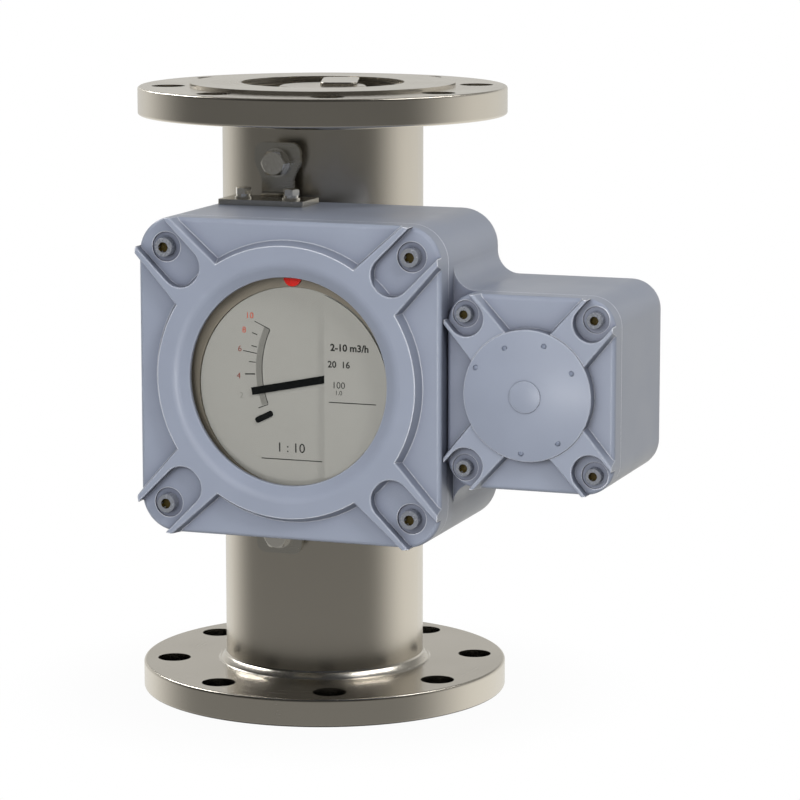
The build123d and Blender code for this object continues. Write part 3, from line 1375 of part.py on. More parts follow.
def hex_head(across_flats, height):
    """Hexagon head on the XY plane with its top corners turned off at 30 degrees."""
    top_radius = 0.475 * across_flats
    with BuildPart() as head:
        with BuildSketch():
            RegularPolygon(across_flats / 2, 6, major_radius=False)
        extrude(amount=height)
        with BuildSketch():
            Circle(top_radius + height * tan(radians(60)))
        extrude(amount=height, taper=60, mode=Mode.INTERSECT)
    return head.part


# Brackets: a plate on the housing and a leg bolted to a boss on the tube
def bracket(face_z, side, reach):
    """side is 1 over the housing and -1 under it; reach is from its face to the bolt."""
    leg_back = LEG_FRONT - BRACKET_THICKNESS
    leg_end = reach + LEG_OVER_BOLT
    shoulder = reach - LEG_SHOULDER
    bend = BRACKET_THICKNESS
    with BuildPart() as piece:
        with BuildSketch(Plane.XY.offset(face_z)) as foot:
            with Locations((0, -(BRACKET_FRONT + LEG_FRONT) / 2)):
                Rectangle(2 * BRACKET_HALF_WIDTH, BRACKET_FRONT - LEG_FRONT)
            fillet(foot.vertices(), BRACKET_CORNER)
            with Locations((0, -(leg_back + LEG_FRONT + 2) / 2)):
                Rectangle(2 * LEG_NECK, BRACKET_THICKNESS + 2)
            with Locations(
                (-BRACKET_SCREW_X, -BRACKET_SCREW_DEPTH),
                (BRACKET_SCREW_X, -BRACKET_SCREW_DEPTH),
            ):
                Circle(BRACKET_SCREW_DIA / 2 + 3 * SLIP, mode=Mode.SUBTRACT)
        extrude(amount=side * BRACKET_THICKNESS)
        with BuildSketch(facing(0, leg_back, face_z)) as leg:
            Polygon(
                (-LEG_NECK, 0),
                (LEG_NECK, 0),
                (LEG_NECK, side * shoulder),
                (LEG_HALF_WIDTH, side * reach),
                (LEG_HALF_WIDTH, side * leg_end),
                (-LEG_HALF_WIDTH, side * leg_end),
                (-LEG_HALF_WIDTH, side * reach),
                (-LEG_NECK, side * shoulder),
            )
            tip = leg.vertices().filter_by(lambda v: abs(abs(v.Y) - leg_end) < 0.01)
            fillet(tip, LEG_CORNER)
            waist = leg.vertices().filter_by(
                lambda v: shoulder - 0.01 < abs(v.Y) < reach + 0.01
            )
            fillet(waist, LEG_WAIST)
            with Locations((0, side * reach)):
                Circle(BRACKET_BOLT_DIA / 2 + 5 * SLIP, mode=Mode.SUBTRACT)
        extrude(amount=BRACKET_THICKNESS)
        inside_bend = piece.edges().filter_by(Axis.X).filter_by(
            lambda e: abs(e.center().Y + LEG_FRONT) < 0.01
            and abs(e.center().Z - face_z - side * BRACKET_THICKNESS) < 0.01
            and abs(e.center().X) < 0.01
        )
        fillet(inside_bend, bend)
        outside_bend = piece.edges().filter_by(Axis.X).filter_by(
            lambda e: abs(e.center().Y + leg_back) < 0.01 and abs(e.center().Z - face_z) < 0.01
        )
        fillet(outside_bend, bend)
    return piece


upper_bracket = bracket(housing_top, 1, UPPER_REACH)
upper_bracket.part.label = "upper_bracket"
export_step(upper_bracket.part, "parts/upper_bracket.step")

lower_bracket = bracket(housing_bottom, -1, LOWER_REACH)
lower_bracket.part.label = "lower_bracket"
export_step(lower_bracket.part, "parts/lower_bracket.step")

bolt_heights = (housing_top + UPPER_REACH, housing_bottom - LOWER_REACH)
leg_back = LEG_FRONT - BRACKET_THICKNESS

# Bosses saddle-welded on the tube, each tapped for its bracket's bolt
with BuildPart() as tube_bosses:
    for z in bolt_heights:
        with BuildSketch(facing(0, tube_radius - TUBE_WALL / 2, z)):
            Circle(WELD_BOSS_DIA / 2)
        extrude(amount=leg_back - tube_radius + TUBE_WALL / 2)
    with BuildSketch(Plane.XY):
        Circle(tube_radius + SLIP / 2)
    extrude(amount=FACE_TO_FACE, mode=Mode.SUBTRACT)
    for z in bolt_heights:
        with BuildSketch(facing(0, tube_radius, z)):
            Circle(BRACKET_BOLT_DIA / 2)
        extrude(amount=leg_back - tube_radius, mode=Mode.SUBTRACT)
tube_bosses.part.label = "tube_bosses"
export_step(tube_bosses.part, "parts/tube_bosses.step")

washer = 0.2 * BRACKET_BOLT_DIA
with BuildPart() as bolt_washers:
    for z in bolt_heights:
        with BuildSketch(facing(0, LEG_FRONT, z)):
            Circle(BRACKET_BOLT_DIA)
            Circle(BRACKET_BOLT_DIA / 2 + 2 * SLIP, mode=Mode.SUBTRACT)
        extrude(amount=washer)
bolt_washers.part.label = "bolt_washers"
export_step(bolt_washers.part, "parts/bolt_washers.step")

with BuildPart() as bracket_bolts:
    bolt_seat = LEG_FRONT + washer
    bolt_head = hex_head(1.625 * BRACKET_BOLT_DIA, 0.66 * BRACKET_BOLT_DIA)
    for z in bolt_heights:
        add(bolt_head.moved(facing(0, bolt_seat, z).location))
    for z in bolt_heights:
        with BuildSketch(facing(0, bolt_seat, z)):
            Circle(BRACKET_BOLT_DIA / 2 - SLIP / 2)
        extrude(amount=-BRACKET_BOLT_LENGTH)
bracket_bolts.part.label = "bracket_bolts"
export_step(bracket_bolts.part, "parts/bracket_bolts.step")

plate_faces = (
    (housing_top + BRACKET_THICKNESS, 1),
    (housing_bottom - BRACKET_THICKNESS, -1),
)
bracket_screw_places = [
    (-BRACKET_SCREW_X, -BRACKET_SCREW_DEPTH),
    (BRACKET_SCREW_X, -BRACKET_SCREW_DEPTH),
]
plate_washer = 0.2 * BRACKET_SCREW_DIA
spring_washer = 0.26 * BRACKET_SCREW_DIA

with BuildPart() as plate_washers:
    for face_z, side in plate_faces:
        with BuildSketch(Plane.XY.offset(face_z)):
            with Locations(*bracket_screw_places):
                Circle(BRACKET_SCREW_DIA)
                Circle(BRACKET_SCREW_DIA / 2 + 2 * SLIP, mode=Mode.SUBTRACT)
        extrude(amount=side * plate_washer)
plate_washers.part.label = "plate_washers"
export_step(plate_washers.part, "parts/plate_washers.step")

with BuildPart() as spring_washers:
    for face_z, side in plate_faces:
        with BuildSketch(Plane.XY.offset(face_z + side * plate_washer)):
            with Locations(*bracket_screw_places):
                Circle(0.84 * BRACKET_SCREW_DIA)
                Circle(BRACKET_SCREW_DIA / 2 + SLIP, mode=Mode.SUBTRACT)
                with Locations((0.7 * BRACKET_SCREW_DIA, 0)):
                    Rectangle(BRACKET_SCREW_DIA, 0.2 * BRACKET_SCREW_DIA, mode=Mode.SUBTRACT)
        extrude(amount=side * spring_washer)
spring_washers.part.label = "spring_washers"
export_step(spring_washers.part, "parts/spring_washers.step")

screw_head = hex_head(1.6 * BRACKET_SCREW_DIA, 0.7 * BRACKET_SCREW_DIA)
with BuildPart() as plate_screws:
    for face_z, side in plate_faces:
        seat = face_z + side * (plate_washer + spring_washer)
        for x, y in bracket_screw_places:
            add(screw_head.moved(Plane(origin=(x, y, seat), z_dir=(0, 0, side)).location))
        with BuildSketch(Plane.XY.offset(seat)):
            with Locations(*bracket_screw_places):
                Circle(BRACKET_SCREW_DIA / 2 - SLIP / 2)
        extrude(amount=-side * BRACKET_SCREW_LENGTH)
plate_screws.part.label = "plate_screws"
export_step(plate_screws.part, "parts/plate_screws.step")

# Cable grommet in the way between the compartments
way_left = WINDOW_X + cavity_size / 2
way_right = terminal_x - TERMINAL_WIDTH / 2 + TERMINAL_WALL
grommet_axis = Axis((0, -PASSAGE_DEPTH, TERMINAL_Z), (1, 0, 0))
with BuildPart() as cable_grommet:
    with BuildSketch(Plane(origin=(0, -PASSAGE_DEPTH, TERMINAL_Z))):
        Polygon(
            (way_left - 2, PASSAGE_DIA / 2 + 2),
            (way_left, PASSAGE_DIA / 2 + 2),
            (way_left, PASSAGE_DIA / 2 - SLIP),
            (way_right, PASSAGE_DIA / 2 - SLIP),
            (way_right, PASSAGE_DIA / 2 - 3),
            (way_left - 2, PASSAGE_DIA / 2 - 3),
        )
    revolve(axis=grommet_axis)
cable_grommet.part.label = "cable_grommet"
export_step(cable_grommet.part, "parts/cable_grommet.step")

# Terminal block on two feet, with a row of clamp screws over a row of wire mouths
block_back = terminal_back + BLOCK_FOOT
block_pitch = (BLOCK_WIDTH - 2 * BLOCK_FOOT - 2) / BLOCK_WAYS
way_places = [((index - (BLOCK_WAYS - 1) / 2) * block_pitch, 0) for index in range(BLOCK_WAYS)]
with BuildPart() as terminal_block:
    with BuildSketch(terminal_plane(block_back)):
        Rectangle(BLOCK_WIDTH - 2 * BLOCK_FOOT, BLOCK_HEIGHT)
    extrude(amount=BLOCK_DEPTH)
    with BuildSketch(terminal_plane(block_back)):
        Rectangle(BLOCK_WIDTH, BLOCK_HEIGHT / 2)
    extrude(amount=BLOCK_DEPTH / 4)
    with BuildSketch(terminal_plane(block_back + BLOCK_DEPTH)):
        with Locations(*way_places):
            Circle(BLOCK_SCREW_DIA / 2)
    extrude(amount=-BLOCK_DEPTH / 2, mode=Mode.SUBTRACT)
    mouth_places = [(terminal_x + x, -block_back - BLOCK_DEPTH / 2) for x, z in way_places]
    with BuildSketch(Plane.XY.offset(TERMINAL_Z - BLOCK_HEIGHT / 2)):
        with Locations(*mouth_places):
            Rectangle(0.55 * block_pitch, BLOCK_DEPTH / 3)
    extrude(amount=BLOCK_HEIGHT / 4, mode=Mode.SUBTRACT)
    with BuildSketch(terminal_plane(block_back)):
        with Locations(*[(x, 0) for x in block_foot_places]):
            Circle(CLAMP_SCREW_DIA / 2 + SLIP)
    extrude(amount=BLOCK_DEPTH, mode=Mode.SUBTRACT)
terminal_block.part.label = "terminal_block"
export_step(terminal_block.part, "parts/terminal_block.step")

with BuildPart() as terminal_clamps:
    with BuildSketch(terminal_plane(block_back + BLOCK_DEPTH / 2)):
        with Locations(*way_places):
            Circle(BLOCK_SCREW_DIA / 2 - SLIP)
    extrude(amount=BLOCK_DEPTH / 3)
    with BuildSketch(terminal_plane(block_back + BLOCK_DEPTH * 5 / 6)):
        with Locations(*way_places):
            Rectangle(BLOCK_SCREW_DIA, 0.8)
    extrude(amount=-0.8, mode=Mode.SUBTRACT)
terminal_clamps.part.label = "terminal_clamps"
export_step(terminal_clamps.part, "parts/terminal_clamps.step")

with BuildPart() as block_screws:
    screw_seat = block_back + BLOCK_DEPTH / 4
    with BuildSketch(terminal_plane(screw_seat)):
        with Locations(*[(x, 0) for x in block_foot_places]):
            Circle(clamp_screw_head_dia / 2)
    extrude(amount=0.6 * CLAMP_SCREW_DIA)
    with BuildSketch(terminal_plane(screw_seat)):
        with Locations(*[(x, 0) for x in block_foot_places]):
            Circle(CLAMP_SCREW_DIA / 2 - SLIP / 2)
    extrude(amount=-BLOCK_DEPTH / 4 - BLOCK_FOOT + 1)
block_screws.part.label = "block_screws"
export_step(block_screws.part, "parts/block_screws.step")

# Blanking plug and its seal in the left cable entry; the right one is open for a gland
plug_seat = terminal_floor - PLUG_SEAL
with BuildPart() as plug_seal:
    with BuildSketch(Plane.XY.offset(plug_seat)):
        with Locations((entry_places[0], -ENTRY_DEPTH)):
            Circle(PLUG_HEX / 2)
            Circle(ENTRY_DIA / 2, mode=Mode.SUBTRACT)
    extrude(amount=PLUG_SEAL)
plug_seal.part.label = "plug_seal"
export_step(plug_seal.part, "parts/plug_seal.step")

with BuildPart() as blanking_plug:
    with BuildSketch(Plane.XY.offset(plug_seat)):
        with Locations((entry_places[0], -ENTRY_DEPTH)):
            RegularPolygon(PLUG_HEX / 2, 6, major_radius=False)
    extrude(amount=-PLUG_HEAD)
    with BuildSketch(Plane.XY.offset(plug_seat)):
        with Locations((entry_places[0], -ENTRY_DEPTH)):
            Circle(ENTRY_DIA / 2 - SLIP / 2)
    extrude(amount=PLUG_LENGTH + PLUG_SEAL)
blanking_plug.part.label = "blanking_plug"
export_step(blanking_plug.part, "parts/blanking_plug.step")
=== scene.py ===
"""Finishes, small fittings, print, light and camera for the metal tube rotameter.

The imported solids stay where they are. This file gives each of them the surface of its real material,
adds what is too fine or too soft-edged for the solids, and sets the meter on a pale floor.
"""
import logging
import math
from dataclasses import dataclass
from enum import Enum

import bpy
from mathutils import Matrix, Vector


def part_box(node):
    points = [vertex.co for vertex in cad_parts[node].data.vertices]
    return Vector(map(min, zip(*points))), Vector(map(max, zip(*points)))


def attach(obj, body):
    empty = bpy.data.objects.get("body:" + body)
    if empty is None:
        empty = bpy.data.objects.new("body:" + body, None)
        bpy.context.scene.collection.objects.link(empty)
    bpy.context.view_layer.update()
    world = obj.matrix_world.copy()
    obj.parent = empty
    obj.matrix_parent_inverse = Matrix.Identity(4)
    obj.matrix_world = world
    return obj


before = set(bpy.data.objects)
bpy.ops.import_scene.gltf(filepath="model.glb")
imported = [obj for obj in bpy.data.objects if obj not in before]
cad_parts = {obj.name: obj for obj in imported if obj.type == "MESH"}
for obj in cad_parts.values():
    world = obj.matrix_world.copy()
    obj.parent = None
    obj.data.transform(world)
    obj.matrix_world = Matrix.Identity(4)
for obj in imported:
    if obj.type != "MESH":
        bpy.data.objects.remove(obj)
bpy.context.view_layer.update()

MM = 0.001
NOISE_SPAN = (0.3, 0.7)
EDGE_SAMPLES = 6
SHELTER_SAMPLES = 8
MERGE_DISTANCE = 1e-7
ARC_STEPS_PER_RADIAN = 40
ARC_LEAST_STEPS = 8
LETTER_STEPS = 4
log = logging.getLogger("rotameter")

Place = tuple[float, float, float]
Span = tuple[float, float]


def linear(hex_colour: str) -> tuple[float, float, float, float]:
    """Turn an sRGB hex colour into the linear one that shaders use.

    Args:
        hex_colour: Six hex digits after a hash sign.

    Returns:
        Red, green and blue in linear light, and an alpha of 1.
    """
    channels = [int(hex_colour[i:i + 2], 16) / 255 for i in (1, 3, 5)]
    light = [c / 12.92 if c <= 0.04045 else ((c + 0.055) / 1.055) ** 2.4 for c in channels]
    return light[0], light[1], light[2], 1.0


def toned(hex_colour: str, share: float) -> tuple[float, float, float, float]:
    """Lighten or darken a colour for the variation within one finish.

    Args:
        hex_colour: The sRGB colour to start from.
        share: What its light is multiplied by.

    Returns:
        The linear colour, no channel above 1.
    """
    red, green, blue, _ = linear(hex_colour)
    return min(red * share, 1.0), min(green * share, 1.0), min(blue * share, 1.0), 1.0


def per_mm(spacing_mm: float) -> float:
    """Return the scale of a texture whose features stand about one spacing apart."""
    return 1 / (spacing_mm * MM)


def add_node(
    tree: bpy.types.NodeTree, kind: str, inputs: dict[str | int, object] | None = None, **settings: object
) -> bpy.types.Node:
    """Add a shader node, set it and link it.

    Args:
        tree: The node tree that takes the node.
        kind: The node's type.
        inputs: Each input's name or number, with its value or the output that feeds it.
        settings: The node's own properties.

    Returns:
        The new node.
    """
    node = tree.nodes.new(kind)
    for name, value in settings.items():
        setattr(node, name, value)
    for name, value in (inputs or {}).items():
        if isinstance(value, bpy.types.NodeSocket):
            tree.links.new(value, node.inputs[name])
        else:
            node.inputs[name].default_value = value
    return node


@dataclass(frozen=True)
class Surface:
    """A material in the making: its node tree, its Principled shader and its Object coordinates."""

    tree: bpy.types.NodeTree
    shader: bpy.types.Node
    place: bpy.types.NodeSocket

    def vary_tone(self, colour: str, pattern: bpy.types.NodeSocket, amount: float) -> None:
        """Let the base colour go a little down and up with a pattern.

        Args:
            colour: The sRGB colour in the middle.
            pattern: A noise, from 0 to 1.
            amount: The share by which the colour goes down and up.
        """
        inputs = {"Value": pattern, "From Min": NOISE_SPAN[0], "From Max": NOISE_SPAN[1]}
        share = add_node(self.tree, "ShaderNodeMapRange", inputs).outputs["Result"]
        inputs = {0: share, 6: toned(colour, 1 - amount), 7: toned(colour, 1 + amount)}
        mixed = add_node(self.tree, "ShaderNodeMix", inputs, data_type="RGBA").outputs[2]
        self.tree.links.new(mixed, self.shader.inputs["Base Color"])

    def vary_sheen(
        self, roughness: float, pattern: bpy.types.NodeSocket, below: float, above: float
    ) -> None:
        """Let the roughness follow a pattern.

        Args:
            roughness: The roughness to start from.
            pattern: A noise, from 0 to 1.
            below: How far it falls.
            above: How far it rises.
        """
        inputs = {
            "Value": pattern, "From Min": NOISE_SPAN[0], "From Max": NOISE_SPAN[1],
            "To Min": roughness - below, "To Max": roughness + above,
        }
        sheen = add_node(self.tree, "ShaderNodeMapRange", inputs).outputs["Result"]
        self.tree.links.new(sheen, self.shader.inputs["Roughness"])

    def cover(self, share: bpy.types.NodeSocket, colour: str) -> None:
        """Lay another colour over the varied base colour.

        Args:
            share: How much of it shows, from 0 to 1.
            colour: The other colour, in sRGB.
        """
        plain = self.shader.inputs["Base Color"].links[0].from_socket
        inputs = {0: share, 6: plain, 7: linear(colour)}
        mixed = add_node(self.tree, "ShaderNodeMix", inputs, data_type="RGBA").outputs[2]
        self.tree.links.new(mixed, self.shader.inputs["Base Color"])


@dataclass(frozen=True)
class Finish:
    """What every finish has: a name, a colour, a roughness and the shader that it builds."""

    name: str
    colour: str
    roughness: float

    def material(self) -> bpy.types.Material:
        """Make the material with its shader, and let the finish dress it.

        Returns:
            The new material.
        """
        made = bpy.data.materials.new(self.name)
        made.use_nodes = True
        tree = made.node_tree
        shader = tree.nodes["Principled BSDF"]
        shader.inputs["Base Color"].default_value = linear(self.colour)
        shader.inputs["Roughness"].default_value = self.roughness
        made.diffuse_color = linear(self.colour)
        place = add_node(tree, "ShaderNodeTexCoord").outputs["Object"]
        self.dress(Surface(tree, shader, place))
        return made

    def dress(self, surface: Surface) -> None:
        """Add the finish's own nodes.

        Args:
            surface: The material in the making.
        """


@dataclass(frozen=True)
class PowderCoat(Finish):
    """Polyester powder coat on die-cast aluminium.

    It is satin, with an orange peel over slightly uneven casting skin, and it rounds every edge. A highlight
    is painted on the edges and shade is painted in the inner corners. The painted highlight grows as the
    rounded normal's agreement with the face's own falls through edge_turn, and the painted shade fades as the
    share of open room round a point rises through corner_light.
    """

    tone: float = 0.025
    sheen: Span = (0.03, 0.05)
    gloss: float = 0.35
    coat: float = 0.15
    coat_roughness: float = 0.24
    swell_mm: float = 26.0
    peel_mm: float = 2.4
    peel_depth_mm: float = 0.014
    peel_detail: float = 3.0
    edge_mm: float = 0.9
    edge_turn: Span = (0.999, 0.92)
    # The colour of the painted highlight on the edges.
    edge_colour: str = "#EDF0F8"
    corner_mm: float = 16.0
    corner_light: Span = (0.35, 0.97)
    corner_dust: float = 0.95
    # The colour of the painted shade in the inner corners.
    corner_colour: str = "#565A69"

    def dress(self, surface: Surface) -> None:
        """Add the uneven tone, the soft edges with their painted highlight, the painted shade in the inner
        corners and the orange peel.

        Args:
            surface: The material in the making.
        """
        tree, shader = surface.tree, surface.shader
        inputs = {"Vector": surface.place, "Scale": per_mm(self.swell_mm)}
        swell = add_node(tree, "ShaderNodeTexNoise", inputs).outputs["Fac"]
        surface.vary_tone(self.colour, swell, self.tone)
        surface.vary_sheen(self.roughness, swell, *self.sheen)
        inputs = {"Radius": self.edge_mm * MM}
        rounded = add_node(tree, "ShaderNodeBevel", inputs, samples=EDGE_SAMPLES).outputs["Normal"]
        self.rub_edges(surface, rounded)
        self.dust_corners(surface)
        inputs = {"Vector": surface.place, "Scale": per_mm(self.peel_mm), "Detail": self.peel_detail}
        peel = add_node(tree, "ShaderNodeTexNoise", inputs).outputs["Fac"]
        inputs = {"Height": peel, "Distance": self.peel_depth_mm * MM, "Normal": rounded}
        bump = add_node(tree, "ShaderNodeBump", inputs)
        tree.links.new(bump.outputs["Normal"], shader.inputs["Normal"])
        shader.inputs["Specular IOR Level"].default_value = self.gloss
        shader.inputs["Coat Weight"].default_value = self.coat
        shader.inputs["Coat Roughness"].default_value = self.coat_roughness

    def rub_edges(self, surface: Surface, rounded: bpy.types.NodeSocket) -> None:
        """Paint a highlight on the edges, in a lighter colour.

        Args:
            surface: The material in the making.
            rounded: The normal with its edges rounded, which turns away from the face's own near an edge.
        """
        tree = surface.tree
        own = add_node(tree, "ShaderNodeNewGeometry").outputs["Normal"]
        same = add_node(tree, "ShaderNodeVectorMath", {0: rounded, 1: own}, operation="DOT_PRODUCT")
        start, end = self.edge_turn
        inputs = {"Value": same.outputs["Value"], "From Min": start, "From Max": end}
        rubbed = add_node(tree, "ShaderNodeMapRange", inputs).outputs["Result"]
        # Painted highlight: the edges are lightened toward a near-white colour.
        surface.cover(rubbed, self.edge_colour)

    def dust_corners(self, surface: Surface) -> None:
        """Paint shade into the inner corners.

        Args:
            surface: The material in the making.
        """
        tree = surface.tree
        inputs = {"Distance": self.corner_mm * MM}
        light = add_node(tree, "ShaderNodeAmbientOcclusion", inputs, samples=SHELTER_SAMPLES).outputs["AO"]
        inputs = {
            "Value": light, "From Min": self.corner_light[0], "From Max": self.corner_light[1],
            "To Min": self.corner_dust, "To Max": 0.0,
        }
        dusty = add_node(tree, "ShaderNodeMapRange", inputs).outputs["Result"]
        # Painted shade: the inner corners are darkened where little open room lies round them.
        surface.cover(dusty, self.corner_colour)


class Grain(Enum):
    """The way that a tool has left its marks on a metal surface, as scales of Object coordinates."""

    DRAWN = (1.0, 1.0, 0.012)
    ROLLED = (0.012, 1.0, 1.0)
    BLASTED = (1.0, 1.0, 1.0)
    TURNED = (0.0, 0.0, 1.0)


@dataclass(frozen=True)
class WorkedMetal(Finish):
    """Bare metal with the marks of how it was turned, drawn, rolled or blasted.

    The marks run one way, so a highlight breaks into fine lines across them, and handling leaves broad
    patches that shine a little more or less. Real marks are about a tenth of a millimetre wide, too fine to
    show, so they are drawn coarser.
    """

    grain: Grain = Grain.BLASTED
    grain_mm: float = 1.2
    grain_detail: float = 4.0
    depth_mm: float = 0.006
    patch_mm: float = 30.0
    patch_detail: float = 3.0
    tone: float = 0.06
    unevenness: float = 0.07
    metallic: float = 1.0
    cavity_mm: float = 0.0
    cavity_light: Span = (0.28, 0.48)
    # The colour of the painted shade in deep holes and hollows.
    cavity_colour: str = "#0D0C0B"

    def marks(self, surface: Surface) -> bpy.types.NodeSocket:
        """Lay the coordinates along the tool marks.

        Args:
            surface: The material in the making.

        Returns:
            Coordinates that change quickly across the marks only.
        """
        tree, place = surface.tree, surface.place
        if self.grain is Grain.TURNED:
            flat = add_node(tree, "ShaderNodeVectorMath", {0: place, 1: (1, 1, 0)}, operation="MULTIPLY")
            reach = add_node(tree, "ShaderNodeVectorMath", {0: flat.outputs["Vector"]}, operation="LENGTH")
            parts = add_node(tree, "ShaderNodeSeparateXYZ", {"Vector": place})
            inputs = {"X": reach.outputs["Value"], "Z": parts.outputs["Z"]}
            return add_node(tree, "ShaderNodeCombineXYZ", inputs).outputs["Vector"]
        inputs = {"Vector": place, "Scale": self.grain.value}
        return add_node(tree, "ShaderNodeMapping", inputs).outputs["Vector"]

    def dress(self, surface: Surface) -> None:
        """Add the tool marks and the patches that shine differently.

        Args:
            surface: The material in the making.
        """
        tree = surface.tree
        surface.shader.inputs["Metallic"].default_value = self.metallic
        inputs = {
            "Vector": self.marks(surface), "Scale": per_mm(self.grain_mm), "Detail": self.grain_detail,
        }
        marks = add_node(tree, "ShaderNodeTexNoise", inputs).outputs["Fac"]
        inputs = {"Vector": surface.place, "Scale": per_mm(self.patch_mm), "Detail": self.patch_detail}
        patches = add_node(tree, "ShaderNodeTexNoise", inputs).outputs["Fac"]
        both = add_node(tree, "ShaderNodeMix", {0: 0.5, 2: marks, 3: patches}).outputs[0]
        surface.vary_tone(self.colour, both, self.tone)
        surface.vary_sheen(self.roughness, both, self.unevenness, self.unevenness)
        bump = add_node(tree, "ShaderNodeBump", {"Height": marks, "Distance": self.depth_mm * MM})
        tree.links.new(bump.outputs["Normal"], surface.shader.inputs["Normal"])
        if self.cavity_mm:
            self.darken_cavities(surface)

    def darken_cavities(self, surface: Surface) -> None:
        """Paint shade on the walls of drilled holes and other deep hollows.

        The painted shade fades as the share of open room round a point rises through cavity_light.

        Args:
            surface: The material in the making.
        """
        tree = surface.tree
        inputs = {"Distance": self.cavity_mm * MM}
        light = add_node(tree, "ShaderNodeAmbientOcclusion", inputs, samples=SHELTER_SAMPLES).outputs["AO"]
        low, high = self.cavity_light
        inputs = {"Value": light, "From Min": low, "From Max": high, "To Min": 1.0, "To Max": 0.0}
        oily = add_node(tree, "ShaderNodeMapRange", inputs).outputs["Result"]
        # Painted shade: deep holes and hollows are darkened toward near-black.
        surface.cover(oily, self.cavity_colour)


@dataclass(frozen=True, kw_only=True)
class SocketHead(WorkedMetal):
    """A dull zinc-flaked screw head whose socket is painted dark and brassy: partly the socket's own dark
    oxide, partly painted shade of the recess.

    One material serves the four screws of a cover, which stand at a rectangle's corners: centre is the
    rectangle's middle, and corner is the way from there to the screw at the top right, both in metres.
    """

    centre: Place
    corner: Place
    socket_mm: float
    # The socket's colour: its dark oxide together with painted shade of the recess.
    socket_colour: str = "#4A3F1E"
    depth_mm: float = 0.008
    metallic: float = 0.3

    def dress(self, surface: Surface) -> None:
        """Dress the head, then paint the socket of each of the four screws dark: its oxide and the shade in
        it.

        Args:
            surface: The material in the making.
        """
        super().dress(surface)
        tree = surface.tree
        inputs = {0: surface.place, 1: self.centre}
        away = add_node(tree, "ShaderNodeVectorMath", inputs, operation="SUBTRACT").outputs["Vector"]
        folded = add_node(tree, "ShaderNodeVectorMath", {0: away}, operation="ABSOLUTE").outputs["Vector"]
        inputs = {0: folded, 1: self.corner}
        from_screw = add_node(tree, "ShaderNodeVectorMath", inputs, operation="SUBTRACT").outputs["Vector"]
        inputs = {0: from_screw, 1: (1, 0, 1)}
        flat = add_node(tree, "ShaderNodeVectorMath", inputs, operation="MULTIPLY").outputs["Vector"]
        reach = add_node(tree, "ShaderNodeVectorMath", {0: flat}, operation="LENGTH").outputs["Value"]
        inputs = {0: reach, 1: self.socket_mm * MM}
        inside = add_node(tree, "ShaderNodeMath", inputs, operation="LESS_THAN").outputs["Value"]
        # Partly painted shade: the socket's recess is darkened along with its own dark oxide.
        surface.cover(inside, self.socket_colour)


@dataclass(frozen=True)
class Moulded(Finish):
    """Moulded plastic, rubber or stoved enamel: an even colour over a fine skin, with faint flow patches.

    The skin's grain is drawn coarser than the real one, which is too fine to show.
    """

    skin_mm: float = 0.9
    depth_mm: float = 0.01
    flow_mm: float = 18.0
    tone: float = 0.05
    gloss: float = 0.5
    unevenness: float = 0.04

    def dress(self, surface: Surface) -> None:
        """Add the skin and the flow patches.

        Args:
            surface: The material in the making.
        """
        tree = surface.tree
        surface.shader.inputs["Specular IOR Level"].default_value = self.gloss
        inputs = {"Vector": surface.place, "Scale": per_mm(self.flow_mm)}
        flow = add_node(tree, "ShaderNodeTexNoise", inputs).outputs["Fac"]
        surface.vary_tone(self.colour, flow, self.tone)
        surface.vary_sheen(self.roughness, flow, self.unevenness, self.unevenness)
        inputs = {"Vector": surface.place, "Scale": per_mm(self.skin_mm)}
        skin = add_node(tree, "ShaderNodeTexNoise", inputs).outputs["Fac"]
        bump = add_node(tree, "ShaderNodeBump", {"Height": skin, "Distance": self.depth_mm * MM})
        tree.links.new(bump.outputs["Normal"], surface.shader.inputs["Normal"])


@dataclass(frozen=True)
class FlatGlass(Finish):
    """Toughened soda-lime float glass: clear and dead flat, with a faint mirror of the room."""

    alpha: float = 0.03
    refraction: float = 1.52
    smear_mm: float = 22.0
    smear_detail: float = 4.0
    smear: float = 0.06

    def dress(self, surface: Surface) -> None:
        """Make it nearly clear, with faint smears left by cleaning.

        Args:
            surface: The material in the making.
        """
        surface.shader.inputs["Alpha"].default_value = self.alpha
        surface.shader.inputs["IOR"].default_value = self.refraction
        inputs = {"Vector": surface.place, "Scale": per_mm(self.smear_mm), "Detail": self.smear_detail}
        smears = add_node(surface.tree, "ShaderNodeTexNoise", inputs).outputs["Fac"]
        surface.vary_sheen(self.roughness, smears, 0.0, self.smear)


@dataclass(frozen=True)
class Ink(Finish):
    """Screen-printed ink: matt, a hair thick, and a little uneven where the mesh laid it down.

    A real screen has several threads to the millimetre, so its unevenness is drawn coarser.
    """

    mesh_mm: float = 0.5
    tone: float = 0.12

    def dress(self, surface: Surface) -> None:
        """Add the screen's fine unevenness.

        Args:
            surface: The material in the making.
        """
        inputs = {"Vector": surface.place, "Scale": per_mm(self.mesh_mm)}
        mesh = add_node(surface.tree, "ShaderNodeTexNoise", inputs).outputs["Fac"]
        surface.vary_tone(self.colour, mesh, self.tone)


# Nitrile seals and bumpers are dead matt and nearly black, with a dusty bloom.
BLACK_RUBBER = Moulded("black_nitrile_rubber", "#1A1A1B", 0.7, skin_mm=0.8, depth_mm=0.02, tone=0.12)
# Sliding bushes are milky and a little waxy.
WHITE_PLASTIC = Moulded("white_sliding_plastic", "#E4E0D6", 0.35)
# Terminal blocks are an even green, between matt and glossy.
TERMINAL_PLASTIC = Moulded("green_terminal_plastic", "#5C7A66", 0.4)
# Nickel over a sintered magnet is greyer than steel.
MAGNET = WorkedMetal("plated_magnet", "#6F6F72", 0.3)
# Rolled plate has faint lines along it and a soft shine.
ALUMINIUM = WorkedMetal("rolled_aluminium", "#C9CACB", 0.32, Grain.ROLLED)
